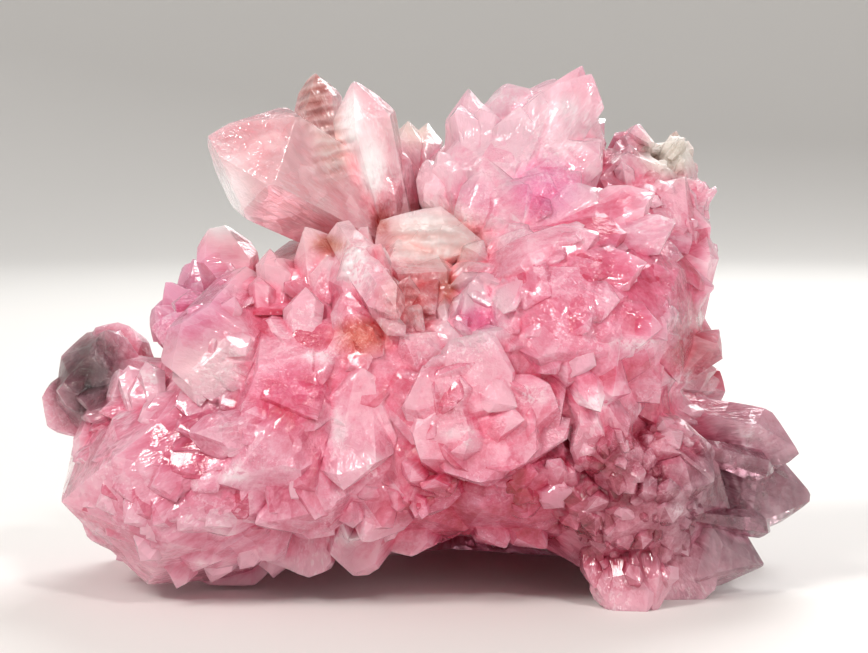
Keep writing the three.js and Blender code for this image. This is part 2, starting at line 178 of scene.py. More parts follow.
class Field:
    """The solid as a blurred indicator: 1 inside, 0 outside and a half on a flat face. Its
    gradient is minus the surface's normals spread over the grid, so it is the solution of
    Poisson's equation, found by a Fourier transform."""

    def __init__(self, points, normals, area, blur):
        self.low = points.min(0) - GRID_MARGIN
        shape = np.ceil((points.max(0) + GRID_MARGIN - self.low) / GRID_STEP).astype(int)
        cells = np.floor((points - self.low) / GRID_STEP).astype(int)
        flat = np.ravel_multi_index(cells.T, shape)
        share = area / len(points) / GRID_STEP**3
        waves = [2 * np.pi * np.fft.fftfreq(n, GRID_STEP) for n in shape[:2]]
        waves.append(2 * np.pi * np.fft.rfftfreq(shape[2], GRID_STEP))
        wave = np.stack(np.meshgrid(*waves, indexing="ij"))
        square = (wave**2).sum(0)
        square[0, 0, 0] = 1
        spread = 0
        for axis in range(3):
            layer = np.bincount(flat, -normals[:, axis] * share, shape.prod()).reshape(shape)
            spread = spread + 1j * wave[axis] * np.fft.rfftn(layer)
        smooth = -spread / square * np.exp(-square * blur**2 / 2)
        smooth[0, 0, 0] = 0
        self.value = np.fft.irfftn(smooth, shape)
        self.value -= self.value[0, 0, 0]
        self.slope = np.stack([np.fft.irfftn(1j * w * smooth, shape) for w in wave], -1)

    def read(self, grid, points):
        """Trilinear reading of a grid: the eight corners round each point, weighted by nearness."""
        place = (points - self.low) / GRID_STEP - 0.5
        cell = np.clip(np.floor(place).astype(int), 0, np.array(grid.shape[:3]) - 2)
        part = place - cell
        total = 0
        for corner in np.ndindex(2, 2, 2):
            near = np.where(corner, part, 1 - part).prod(-1)
            value = grid[tuple((cell + corner).T)]
            total = total + (near[:, None] * value if value.ndim > 1 else near * value)
        return total

    def depth(self, points):
        """How deep the points lie in the blurred shape, from 0 to 1."""
        return self.read(self.value, points)

    def outward(self, points):
        """The way out of the blurred shape."""
        return unit(-self.read(self.slope, points))

    def settle(self, points, level):
        """One Newton step along the gradient towards the surface where the field has the level."""
        slope = self.read(self.slope, points)
        steep = np.sqrt(np.maximum((slope**2).sum(1), LEAST_SLOPE**2))
        step = (level - self.depth(points)) / steep
        return points + (np.clip(step, -LONGEST_SETTLE, LONGEST_SETTLE) / steep)[:, None] * slope


# ---- Crystals as arrays ----

SIDES = 6
ROOT_SHARE = 0.4  # width of a crystal at its root, as a share of its width at the shoulder
LEAST_SHOULDER = 0.25  # lowest place of a shoulder corner, as a share of the length
FACET_SPREAD = 0.14  # how much the depth of colour differs from face to face of one crystal
CRYSTAL_FACES = (
    [tuple(range(SIDES))[::-1]]
    + [(k, (k + 1) % SIDES, SIDES + (k + 1) % SIDES, SIDES + k) for k in range(SIDES)]
    + [(SIDES + k, SIDES + (k + 1) % SIDES, 2 * SIDES) for k in range(SIDES)]
)


def crystal_corners(tip, root, front, width, thickness, steep, lean):
    """Corners of six-sided crystals, one row each. Corner k of a ring lies at
    axis(level) + share*(width/2*cos(a_k)*side + thickness/2*sin(a_k)*front); the shoulder's
    level falls below the tip by the steepness times the corner's distance from the tip."""
    axis = tip - root
    length = np.linalg.norm(axis, axis=1)
    along = unit(axis)
    side = unit(np.cross(front, along))
    front = np.cross(along, side)
    turn = np.arange(SIDES) * 2 * np.pi / SIDES
    across = np.cos(turn) * width[:, None] / 2
    deep = np.sin(turn) * thickness[:, None] / 2
    ring = across[..., None] * side[:, None] + deep[..., None] * front[:, None]
    shift = lean[:, :1] * width[:, None] / 2 * side + lean[:, 1:] * thickness[:, None] / 2 * front
    reach = np.linalg.norm(ring - shift[:, None], axis=-1)
    level = np.maximum(length[:, None] - steep[:, None] * reach, LEAST_SHOULDER * length[:, None])
    shoulder = root[:, None] + level[..., None] * along[:, None] + ring
    base = root[:, None] + ROOT_SHARE * ring
    return np.concatenate([base, shoulder, (tip + shift)[:, None]], axis=1)


def add_crystals(collection, name, corners, depths, rng):
    """One closed mesh object for each crystal, in metres, with the depth of colour of each face."""
    spread = 1 + FACET_SPREAD * rng.normal(size=(len(corners), len(CRYSTAL_FACES)))
    for number, places in enumerate(corners * MM):
        mesh = bpy.data.meshes.new(f"{name}_{number}")
        mesh.from_pydata(places.tolist(), [], CRYSTAL_FACES)
        add_layer(mesh, "depth", "FLOAT", "FACE", depths[number] * spread[number])
        collection.objects.link(bpy.data.objects.new(mesh.name, mesh))


# ---- Lobes: where the cluster grows from, and where fine crystals grow on it ----
# root: what the crystals point away from; middle and half: the lobe's region. Where fine crystals
# grow: habit, how they lie or stand; cell, their spacing; width, smallest and largest.

LOBES = {
    "upper_left_spray": dict(root=[-5, 43, -3], middle=[-14, 53, 2], half=[14, 13, 12]),
    "flower_fan": dict(root=[5, 43, 0], middle=[9, 55, 0], half=[14, 11, 12]),
    "right_crest": dict(
        root=[20, 42, -8], middle=[28, 52, -4], half=[8, 9, 9], habit="spire", cell=3.6, width=(1.6, 3.4)
    ),
    "right_dome": dict(
        root=[8, 39, 4], middle=[22, 38, 8], half=[14, 14, 16], habit="plate", cell=4.8, width=(3.5, 7.5)
    ),
    "middle_rosette": dict(root=[6.5, 23.4, 4], middle=[6, 24, 14], half=[9, 8.4, 10]),
    "middle_crest": dict(
        root=[-6, 27, 2], middle=[-9, 34, 12], half=[10, 12, 12], habit="plate", cell=4.0, width=(3, 6)
    ),
    "left_dome": dict(
        root=[-13, 27, 6], middle=[-28, 17, 8], half=[18, 15, 18], habit="plate", cell=4.8, width=(3.5, 7.5)
    ),
    "middle_druse": dict(
        root=[4, 22, 0], middle=[8, 10, 10], half=[16, 8, 14], habit="point", cell=2.6, width=(1.8, 4.4)
    ),
    "spray_foot": dict(
        root=[22, 20, 0], middle=[23, 10, 8], half=[8, 12, 12], habit="point", cell=2.8, width=(1.6, 4.2)
    ),
    "lower_right_spray": dict(root=[22, 20, 0], middle=[38, 12, 2], half=[10, 11, 12]),
    "smoky_lobe": dict(root=[-36, 24, -8], middle=[-42, 27, -4], half=[8, 9, 9]),
    "back": dict(
        root=[0, 26, 0], middle=[0, 34, -24], half=[44, 26, 12], habit="spire", cell=4.6, width=(2.5, 5.5)
    ),
}

# How laid crystals lie along the blurred surface: length and thickness as shares of the width,
# how far the tip stands over it, how steep the tip is, how uneven the direction, and the depth.
LAID = {
    "plate": dict(
        length=(1.5, 2.3), thickness=(0.25, 0.4), lift=(0.1, 1.0), steep=1.0, stray=0.1, depth=1.0
    ),
}

# How standing crystals stand on the solid: rise over it in degrees, length and thickness as
# shares of the width, the share of the length that stands clear, and the rest as above.
STANDING = {
    "point": dict(
        rise=(30, 75), length=(1.4, 2.2), thickness=(0.65, 1.0), clear=0.26, steep=1.1, stray=0.3, depth=1.2
    ),
    "spire": dict(
        rise=(20, 60), length=(1.8, 2.6), thickness=(0.6, 1.0), clear=0.24, steep=1.2, stray=0.2, depth=0.9
    ),
}
DEPTH_SPREAD = 0.3  # how much the depth of colour differs from crystal to crystal
SMALL_BIAS = 1.6  # over 1, small widths are more common than large ones
FINE_STEEP = (0.7, 1.2)  # range of the tips' steepness, as a share of the habit's
FINE_LEAN = 0.5  # furthest that a tip stands off its axis, as a share of the half width
FINE_TURN = 0.1  # how unevenly their broad faces look outwards

FARTHEST = 2.2  # a lobe grows nothing further out than this, squared, in half sizes
LOWEST_GROWTH = 3.5  # height over the resting plane below which nothing grows
LOWEST_FACING = -0.6  # nor does it on what faces further down than this
SINK = 2.5  # how far a laid crystal's root sinks below the blurred surface
LIE_LEVEL = 0.5  # the blurred field's level on which they lie

# Faces that stay broad and smooth: middle and half sizes on the elevation.
SMOOTH = [
    [-28.0, 30.0, 6.0, 5.0],
    [-9.0, 21.5, 4.6, 7.0],
    [5.4, 12.4, 4.6, 4.6],
    [32.0, 38.6, 6.0, 5.0],
    [33.0, 31.0, 5.0, 5.0],
    [33.0, 16.5, 6.0, 3.4],
    [-1.0, 43.0, 6.0, 6.0],
]
SMOOTH_BACK = -9.0  # how far back that holds

GRAIN_RADIUS = 20.0  # millimetres
GRAIN_DRIFT = 0.2  # how much that grows with the distance from the root


def nearest_lobe(points):
    """The number of the lobe whose region each point lies deepest in: the least sum of squares
    of its distance from the middle, each divided by that half size. Gives that sum as well."""
    away = []
    for lobe in LOBES.values():
        across, up, out = lobe["half"]
        away.append((((points - seen(lobe["middle"])) / (across, out, up)) ** 2).sum(1))
    away = np.array(away)
    return away.argmin(0), away.min(0)


def lobe_of(points):
    """The number of the lobe that each point grows on, or -1 outside them all and where the faces
    stay smooth."""
    number, away = nearest_lobe(points)
    place = elevation(points)
    number = np.where(away < FARTHEST, number, -1)
    for zone in SMOOTH:
        number[(nearness(place, zone) < 1) & (place[:, 2] > SMOOTH_BACK)] = -1
    return number


def grain_places(points):
    """Where to read noise so that it runs in fibres away from the root of each point's lobe: the
    direction from that root, times GRAIN_RADIUS, which hardly grows with the distance."""
    roots = seen([lobe["root"] for lobe in LOBES.values()])
    away = points - roots[nearest_lobe(points)[0]]
    distance = np.linalg.norm(away, axis=1)[:, None]
    return away / distance * (GRAIN_RADIUS + GRAIN_DRIFT * distance)


def one_in_each_cell(points, cell):
    """Numbers of the first point in each cell of a cubic grid, which keeps them apart."""
    cells = np.floor(points / cell).astype(int)
    return np.unique(cells, axis=0, return_index=True)[1]


def grow_on(points, lobe, field, rng):
    """Corners and depths of the fine crystals that grow at the points. Their axis is the direction
    away from the lobe's root, laid along the blurred surface; laid ones then lift their tip and
    sink their root, and standing ones rise over the solid by an angle."""
    laid = lobe["habit"] in LAID
    habit = (LAID if laid else STANDING)[lobe["habit"]]
    count = len(points)
    outward = field.outward(points)
    away = unit(points - seen(lobe["root"])) + habit["stray"] * rng.normal(size=(count, 3))
    flat = unit(away - (away * outward).sum(1)[:, None] * outward)
    small, large = lobe["width"]
    width = small + (large - small) * rng.random(count) ** SMALL_BIAS
    length = (width * rng.uniform(*habit["length"], count))[:, None]
    thickness = width * rng.uniform(*habit["thickness"], count)
    if laid:
        middle = field.settle(points, LIE_LEVEL)
        tip = middle + length / 2 * flat + rng.uniform(*habit["lift"], count)[:, None] * outward
        root = middle - length / 2 * flat - SINK * outward
    else:
        rise = np.radians(rng.uniform(*habit["rise"], count))[:, None]
        axis = np.cos(rise) * flat + np.sin(rise) * outward
        tip = points + habit["clear"] * length * axis
        root = tip - length * axis
    lean = rng.uniform(-FINE_LEAN, FINE_LEAN, (count, 2))
    front = unit(outward + FINE_TURN * rng.normal(size=(count, 3)))
    steep = habit["steep"] * rng.uniform(*FINE_STEEP, count)
    depth = habit["depth"] + DEPTH_SPREAD * rng.normal(size=count)
    return crystal_corners(tip, root, front, width, thickness, steep, lean), depth


def grow_lobes(collection, points, field, spacing, rng):
    """Grows the fine crystals of every lobe, one in each cell of its grid."""
    lobes = lobe_of(points)
    for number, (name, lobe) in enumerate(LOBES.items()):
        if "habit" not in lobe:
            continue
        own = points[(lobes == number) & (points[:, 2] > LOWEST_GROWTH)]
        own = own[one_in_each_cell(own, lobe["cell"] * spacing)]
        own = own[field.outward(own)[:, 2] > LOWEST_FACING]
        add_crystals(collection, name, *grow_on(own, lobe, field, rng), rng)


# ---- Crystals placed one by one ----
# Those that a person would pick out: tip and root across and up on the elevation, width,
# thickness, how far the tip stands over what is there, and depth of colour.

SINGLES = [
    # Left dome.
    [-26.4, 25.4, -28.0, 35.0, 10.5, 4.5, 1.0, 0.5],
    [-29.6, 22.0, -17.6, 22.4, 4.6, 2.4, 1.4, 0.5],
    [-15.4, 22.6, -20.6, 31.0, 9.0, 4.4, 1.0, 1.1],
    [-34.6, 30.0, -32.6, 20.0, 3.6, 2.6, 1.2, 0.45],
    [-37.2, 29.2, -34.6, 19.0, 3.4, 2.2, 1.2, 0.5],
    [-31.0, 13.2, -34.2, 21.6, 6.4, 2.6, 1.0, 0.9],
    [-25.6, 14.4, -31.0, 21.4, 4.4, 2.4, 1.0, 0.85],
    [-37.2, 13.0, -39.6, 20.6, 4.8, 2.6, 0.8, 1.1],
    [-33.0, 11.8, -24.0, 11.4, 3.4, 2.6, 1.0, 0.9],
    [-22.0, 11.4, -25.4, 16.6, 5.4, 2.6, 0.8, 1.5],
    [-12.4, 7.8, -21.4, 12.6, 6.4, 3.0, 1.0, 1.2],
    [-21.4, 16.2, -27.0, 20.4, 5.4, 2.4, 1.0, 0.8],
    [-13.4, 15.0, -17.6, 21.0, 6.0, 2.6, 0.8, 1.4],
    [-17.6, 6.4, -22.6, 11.6, 6.4, 2.6, 0.8, 1.0],
    [-34.6, 7.0, -30.0, 12.2, 5.0, 2.4, 0.8, 0.8],
    [-36.6, 17.6, -29.4, 20.0, 5.0, 2.2, 1.0, 0.7],
    [-37.6, 10.4, -32.4, 14.6, 4.6, 2.2, 1.4, 0.8],
    [-36.0, 5.8, -31.6, 10.6, 4.4, 2.2, 1.4, 0.6],
    [-31.4, 3.4, -28.4, 8.8, 4.6, 2.2, 1.2, 1.1],
    [-30.4, 9.0, -25.6, 13.2, 4.4, 2.2, 1.6, 0.7],
    [-26.4, 3.0, -23.0, 8.0, 4.4, 2.2, 1.2, 0.6],
    [-34.0, 10.6, -29.0, 15.6, 4.0, 2.2, 1.8, 1.3],
    [-19.0, 2.6, -17.6, 8.4, 4.6, 2.4, 1.2, 0.9],
    [-33.6, 15.2, -24.6, 18.6, 4.4, 2.2, 1.6, 0.9],
    [-27.6, 9.6, -21.0, 14.0, 4.2, 2.2, 1.4, 0.6],
    [-23.6, 5.2, -17.6, 10.0, 4.4, 2.2, 1.2, 0.7],
    [-29.0, 4.4, -26.0, 10.4, 5.6, 2.6, 0.8, 1.0],
    # Upper left.
    [-24.2, 38.4, -26.6, 32.0, 3.2, 2.2, 1.0, 0.8],
    [-20.8, 39.6, -20.4, 33.0, 3.4, 3.0, 0.8, 1.3],
    [-18.8, 43.0, -18.8, 33.4, 5.2, 3.2, 1.2, 0.45],
    [-15.8, 38.6, -15.6, 28.0, 5.0, 3.2, 1.2, 0.55],
    # Middle rosette.
    [9.9, 25.2, 2.6, 29.6, 5.2, 2.4, 1.6, 0.7],
    [2.0, 20.0, 9.0, 20.6, 3.6, 2.0, 1.6, 0.8],
    [10.4, 22.4, 3.6, 22.6, 4.6, 2.2, 1.4, 1.1],
    [-1.6, 26.4, 3.0, 31.4, 4.6, 2.0, 1.6, 0.7],
    # Middle crest.
    [-11.8, 44.8, -7.4, 37.6, 5.6, 3.4, 1.2, 0.4],
    [-4.4, 33.2, -11.4, 40.6, 2.8, 2.4, 1.6, 0.5],
    [-6.0, 31.4, -12.0, 36.0, 5.2, 3.0, 0.8, 1.6],
    [-12.6, 27.6, -15.4, 33.0, 4.6, 2.6, 0.8, 0.9],
    [-8.0, 29.0, -11.2, 33.6, 4.2, 2.4, 0.8, 1.2],
    [6.4, 43.4, 2.4, 38.6, 4.2, 2.8, 1.2, 0.9],
    [0.8, 36.0, -3.0, 42.4, 6.4, 3.2, 0.8, 1.3],
    [-9.4, 14.8, -8.6, 28.6, 8.4, 5.0, 1.4, 0.8],
    # Right dome.
    [27.0, 51.0, 10.0, 44.4, 7.0, 3.2, 1.0, 1.0],
    [29.6, 46.8, 12.6, 43.0, 6.0, 3.0, 1.0, 0.7],
    [26.0, 42.6, 11.0, 40.2, 6.6, 3.0, 1.2, 1.1],
    [22.6, 37.8, 8.6, 38.6, 5.6, 2.6, 0.8, 0.9],
    [28.0, 34.2, 13.0, 36.0, 6.4, 3.0, 1.2, 1.2],
    [24.4, 26.6, 12.4, 31.4, 6.2, 3.0, 1.0, 1.2],
    [21.8, 22.4, 24.2, 31.4, 6.6, 3.4, 0.8, 0.8],
    [27.4, 25.4, 22.0, 32.4, 6.2, 3.2, 0.8, 0.9],
    [19.4, 17.8, 18.6, 27.0, 4.2, 3.6, 1.2, 0.6],
    [13.0, 33.0, 9.0, 36.6, 4.0, 2.4, 0.6, 0.6],
    # Flower fan.
    [3.6, 62.2, 4.4, 46.5, 5.4, 2.8, 0.5, 0.8],
    [6.3, 62.4, 5.6, 47.0, 3.8, 2.4, 0.6, 0.8],
    [9.6, 61.8, 6.6, 46.0, 6.4, 2.8, 0.6, 0.7],
    [13.2, 62.8, 7.6, 46.0, 5.0, 2.8, 0.4, 0.8],
    [18.4, 65.0, 9.0, 47.0, 8.0, 3.4, 0.6, 0.8],
    [20.4, 57.6, 9.6, 46.6, 6.0, 2.8, 0.4, 0.9],
    [18.6, 53.0, 9.4, 46.0, 4.6, 2.4, 0.5, 1.0],
    [0.4, 56.4, 4.2, 46.0, 4.6, 2.4, 0.6, 0.9],
    [6.6, 55.6, 5.8, 44.6, 6.0, 2.4, 0.3, 1.1],
    [13.0, 54.4, 8.0, 44.6, 6.6, 2.4, 0.3, 1.2],
    [-0.8, 51.4, 3.6, 45.6, 4.0, 2.4, 0.7, 0.9],
    # Spray foot.
    [24.4, 18.2, 22.4, 21.6, 3.0, 2.4, 1.4, 0.6],
    [29.6, 19.0, 24.0, 22.4, 4.4, 3.2, 1.2, 1.0],
    [33.4, 16.2, 23.6, 16.6, 6.4, 4.0, 0.8, 1.2],
    [22.9, 12.8, 23.8, 8.6, 3.0, 2.0, 1.6, 0.5],
]

# Crystals that stand out to the side or to the front: tip and root across, up and out, width,
# thickness, depth and how steep the tip is.
STANDING_SINGLES = [
    [6.5, 43.6, 9.8, -6.8, 45.4, 6.0, 9.2, 4.4, 0.8, 1.6],
    [34.2, 34.6, 2.5, 28.4, 27.4, 3.5, 6.6, 5.4, 1.0, 1.05],
    [40.6, 17.2, 3.5, 27.5, 21.0, 9.0, 4.0, 4.4, 1.4, 1.05],
    [40.4, 10.5, 2.0, 27.0, 12.2, 10.0, 3.4, 4.2, 1.4, 1.05],
]

# Rosettes: middle on the elevation, and for each ring of petals its radius, number, width, how
# far the tips stand over what is there, and depth of colour.
ROSETTES = [
    ([6.6, 23.6], [(9.2, 7, 8.6, 0.2, 0.9), (6.8, 6, 7.0, 1.0, 1.2)]),
    ([5.2, 35.8], [(4.6, 7, 4.4, 0.7, 0.7), (2.8, 5, 3.4, 1.2, 1.2)]),
    ([-8.0, 9.0], [(4.0, 6, 3.6, 0.8, 0.8)]),
]
PETAL_THICKNESS = 1.3
PETAL_STEEP = 0.45
PETAL_CUP = 0.5  # how much a petal's broad face looks in towards the middle
PETAL_TURN = 0.15  # how unevenly the petals stand round the middle
PETAL_REACH = (0.75, 1.2)  # range of the tips' distance from the middle, as a share of the ring's
PETAL_ROOT = 0.25  # the roots' distance, likewise
PETAL_LEAN = 0.8  # furthest that a tip stands off its axis, as a share of the half width
SINGLE_LEAN = 0.35
SINGLE_STEEP = 1.05
UNEVEN = (0.8, 1.2)  # range of the singles' steepness and of the petals' sizes, as a share
FACING = 0.4  # how much the laid ones and the rosettes turn towards the eye
LEAST_FACING = -0.6  # keeps an axis from running away where the surface turns from the eye


class Surface:
    """Finds the solid along the eye's line."""

    def __init__(self, solid):
        work = bmesh.new()
        work.from_mesh(solid)
        self.tree = BVHTree.FromBMesh(work)
        work.free()

    def at(self, places):
        """Points of the solid's front at places across and up on the elevation, or the solid's
        nearest point where nothing is there."""
        flat = seen(np.concatenate([places, np.zeros((len(places), 1))], 1))
        found = []
        for place in flat:
            hit = self.tree.ray_cast(Vector(EYE * MM), Vector(place - EYE).normalized())[0]
            found.append(tuple(hit or self.tree.find_nearest(Vector(place * MM))[0]))
        return np.array(found) / MM


def laid_singles(surface, field, rng):
    """Corners and depths of the listed laid crystals. A crystal's middle is found on the solid
    along the eye's line. Its axis is its line on the elevation, d, brought into the blurred
    surface's plane along the eye's forward, f: d - (d.n / f.n) f. Its tip then stands over that
    plane and its root sinks below it."""
    table = np.array(SINGLES)
    tip_place, root_place = table[:, :2], table[:, 2:4]
    width, thickness, over, depth = table[:, 4:].T
    middle = field.settle(surface.at((tip_place + root_place) / 2), LIE_LEVEL)
    outward = unit(field.outward(middle) - FACING * EYE_FORWARD)
    line = (tip_place - root_place) @ np.array([[1, 0, 0], EYE_UP])
    slant = (line * outward).sum(1) / np.minimum(outward @ EYE_FORWARD, LEAST_FACING)
    half = (line - slant[:, None] * EYE_FORWARD) / 2
    tip = middle + half + over[:, None] * outward
    root = middle - half - SINK * outward
    steep = SINGLE_STEEP * rng.uniform(*UNEVEN, len(table))
    lean = rng.uniform(-SINGLE_LEAN, SINGLE_LEAN, (len(table), 2))
    return crystal_corners(tip, root, outward, width, thickness, steep, lean), depth


def standing_singles(rng):
    """Corners and depths of the crystals that stand out to the side or to the front."""
    table = np.array(STANDING_SINGLES)
    tip, root = seen(table[:, :3]), seen(table[:, 3:6])
    width, thickness, depth, steep = table[:, 6:].T
    front = np.tile(-EYE_FORWARD, (len(table), 1))
    lean = rng.uniform(-SINGLE_LEAN, SINGLE_LEAN, (len(table), 2))
    return crystal_corners(tip, root, front, width, thickness, steep, lean), depth


def petals(middle, rings, surface, field, rng):
    """Corners and depths of one rosette. Petal k of a ring points to the angle 2*pi*(k+s)/n about
    the middle; its broad face looks outwards and in towards the middle."""
    heart = field.settle(surface.at(np.array([middle])), LIE_LEVEL)
    outward = unit(field.outward(heart) - FACING * EYE_FORWARD)
    right = np.cross(EYE_FORWARD, EYE_UP)
    right = unit(right - (right * outward).sum() * outward)
    upward = np.cross(outward, right)
    corners, depths = [], []
    for radius, count, width, lift, depth in rings:
        place = np.arange(count) + rng.random() + PETAL_TURN * rng.normal(size=count)
        turn = 2 * np.pi * place / count
        ray = np.cos(turn)[:, None] * right + np.sin(turn)[:, None] * upward
        tip = heart + radius * rng.uniform(*PETAL_REACH, (count, 1)) * ray + lift * outward
        root = heart + PETAL_ROOT * radius * ray - SINK * outward
        front = unit(outward - PETAL_CUP * ray)
        wide = width * rng.uniform(*UNEVEN, count)
        thin = PETAL_THICKNESS * rng.uniform(*UNEVEN, count)
        lean = rng.uniform(-PETAL_LEAN, PETAL_LEAN, (count, 2))
        steep = np.full(count, PETAL_STEEP)
        corners.append(crystal_corners(tip, root, front, wide, thin, steep, lean))
        depths.append(np.full(count, depth))
    return np.concatenate(corners), np.concatenate(depths)


def place_singles(collection, surface, field, rng):
    """Adds the laid and the standing crystals and the rosettes."""
    add_crystals(collection, "single", *laid_singles(surface, field, rng), rng)
    add_crystals(collection, "standing", *standing_singles(rng), rng)
    for number, (middle, rings) in enumerate(ROSETTES):
        add_crystals(collection, f"petal_{number}", *petals(middle, rings, surface, field, rng), rng)


# ---- The solid's copy, the join and the finer mesh ----

MERGE_DISTANCE = 1e-6  # metres
NORMAL_STEPS = 40  # normals and offsets that round to the same step are one flat face
OFFSET_STEPS = 4
SOLID_DEPTH = 0.9  # depth of colour of the solid's faces, and how much it differs between them
SOLID_SPREAD = 0.12
BLOCK_SIZE = 0.3  # metres, of the block that cuts off what reaches below the resting plane


def merged_solid():
    """A copy of the solid with its loose triangles joined."""
    mesh = frame["nodes"][NODE].data.copy()
    work = bmesh.new()
    work.from_mesh(mesh)
    bmesh.ops.remove_doubles(work, verts=work.verts, dist=MERGE_DISTANCE)
    work.to_mesh(mesh)
    work.free()
    return mesh


def facet_depths(solid, rng):
    """Gives each flat face of the solid its own depth of colour: its triangles share a plane, so
    their rounded normals and offsets are alike."""
    count = len(solid.polygons)
    normals, middles = np.empty(3 * count), np.empty(3 * count)
    solid.polygons.foreach_get("normal", normals)
    solid.polygons.foreach_get("center", middles)
    normals, middles = normals.reshape(-1, 3), middles.reshape(-1, 3) / MM
    offsets = (normals * middles).sum(1)[:, None]
    plane = np.concatenate([normals * NORMAL_STEPS, offsets * OFFSET_STEPS], 1)
    kinds, which = np.unique(np.round(plane).astype(int), axis=0, return_inverse=True)
    depth = SOLID_DEPTH + SOLID_SPREAD * rng.normal(size=len(kinds))
    add_layer(solid, "depth", "FLOAT", "FACE", depth[which.ravel()])


def block_below():
    """A block whose top is the resting plane."""
    mesh = bpy.data.meshes.new("below_the_floor")
    work = bmesh.new()
    bmesh.ops.create_cube(work, size=BLOCK_SIZE)
    bmesh.ops.translate(work, verts=work.verts, vec=(0, 0, -BLOCK_SIZE / 2))
    work.to_mesh(mesh)
    work.free()
    return mesh


def join_and_cut(solid, collection):
    """The solid and the collection's crystals in one closed mesh, cut off at the resting plane."""
    cluster = new_object("cluster_surface", solid)
    block = new_object("below_the_floor", block_below())
    join = cluster.modifiers.new("join", "BOOLEAN")
    join.operation, join.operand_type, join.solver = "UNION", "COLLECTION", "MANIFOLD"
    join.collection = collection
    cut = cluster.modifiers.new("cut", "BOOLEAN")
    cut.operation, cut.operand_type, cut.solver = "DIFFERENCE", "OBJECT", "MANIFOLD"
    cut.object = block
    whole = cluster.evaluated_get(bpy.context.evaluated_depsgraph_get())
    cluster.data = bpy.data.meshes.new_from_object(whole)
    cluster.modifiers.clear()
    for obj in [*collection.objects, block]:
        bpy.data.objects.remove(obj)
    bpy.data.collections.remove(collection)
    return cluster


HALVINGS = 5  # most rounds of halving
PULL = 0.15  # share of the way to the middle of its neighbours that a corner is softened by
RESTING = 1e-3  # height up to which a corner rests
CREASE = math.radians(24)  # faces that meet at more than this keep a sharp edge

# For each pattern of split sides of a triangle (1 is the side from corner 0 to 1, 2 from 1 to 2,
# 4 from 2 to 0), the triangles that fill it: 0 to 2 are its corners, 3 to 5 its sides' middles.
SPLITS = [
    [(0, 1, 2)],
    [(0, 3, 2), (3, 1, 2)],
    [(0, 1, 4), (0, 4, 2)],
    [(3, 1, 4), (0, 3, 4), (0, 4, 2)],
    [(0, 1, 5), (5, 1, 2)],
    [(0, 3, 5), (3, 1, 2), (3, 2, 5)],
    [(5, 4, 2), (0, 1, 4), (0, 4, 5)],
    [(0, 3, 5), (3, 1, 4), (5, 4, 2), (3, 4, 5)],
]


def halve_long_sides(corners, triangles, depth, longest):
    """Every side longer than the longest gets a corner in its middle, which its two triangles
    share, and each triangle is filled by its pattern."""
    count = len(corners)
    sides = np.sort(np.stack([triangles, np.roll(triangles, -1, 1)], -1), -1).reshape(-1, 2)
    pairs, which = np.unique(sides[:, 0] * count + sides[:, 1], return_inverse=True)
    start, end = pairs // count, pairs % count
    long = np.linalg.norm(corners[start] - corners[end], axis=1) > longest
    middle = count + np.cumsum(long) - 1
    which = which.reshape(-1, 3)
    six = np.concatenate([triangles, middle[which]], 1)
    pattern = long[which] @ [1, 2, 4]
    parts, owners = [], []
    for number, fill in enumerate(SPLITS):
        own = np.flatnonzero(pattern == number)
        for corner in fill:
            parts.append(six[own][:, corner])
            owners.append(own)
    corners = np.concatenate([corners, (corners[start] + corners[end])[long] / 2])
    return corners, np.concatenate(parts), depth[np.concatenate(owners)]


def refine(mesh, longest):
    """A finer mesh of the same surface, its depth of colour kept for each face."""
    corners, triangles = mesh_arrays(mesh)
    owner = np.empty(len(triangles), np.int32)
    mesh.loop_triangles.foreach_get("polygon_index", owner)
    face_depth = np.empty(len(mesh.polygons), np.float32)
    mesh.attributes["depth"].data.foreach_get("value", face_depth)
    depth = face_depth[owner]
    for _ in range(HALVINGS):
        triangles = triangles.astype(np.int64)
        corners, triangles, depth = halve_long_sides(corners, triangles, depth, longest)
    fine = bpy.data.meshes.new(mesh.name)
    fine.from_pydata(corners * MM, [], triangles)
    add_layer(fine, "depth", "FLOAT", "FACE", depth)
    return fine


def soften(mesh):
    """Rounds the edges: each corner moves part of the way to the middle of its neighbours, and
    those on the resting plane stay on it."""
    corners, _ = mesh_arrays(mesh)
    edges = np.empty(2 * len(mesh.edges), np.int32)
    mesh.edges.foreach_get("vertices", edges)
    start, end = edges.reshape(-1, 2).T
    size = len(corners)
    count = np.bincount(edges, minlength=size)[:, None]
    total = [np.bincount(start, c[end], size) + np.bincount(end, c[start], size) for c in corners.T]
    moved = corners + PULL * (np.stack(total, -1) / np.maximum(count, 1) - corners)
    resting = corners[:, 2] < RESTING
    moved[resting] = corners[resting]
    put_corners(mesh, moved)


# Where the relief over the blurred surface is lower: middle and half sizes on the elevation, and
# the share of the relief that goes.
CALM = [
    ([-27, 18, 17, 16], 0.48),
    ([22, 37, 14, 14], 0.6),
    ([6, 25, 10, 10], 0.15),
    ([-9, 32, 9, 12], 0.5),
    ([12, 10, 16, 9], 0.4),
    ([9, 54, 10, 9], 0.65),
    ([29, 52, 7, 7], 0.4),
    ([-42, 27, 6, 8], 0.1),
]
CALM_REACH = 2.5  # height over the blurred surface up to which it counts
CALM_FADE = 4.0  # height over the resting plane below which it fades out


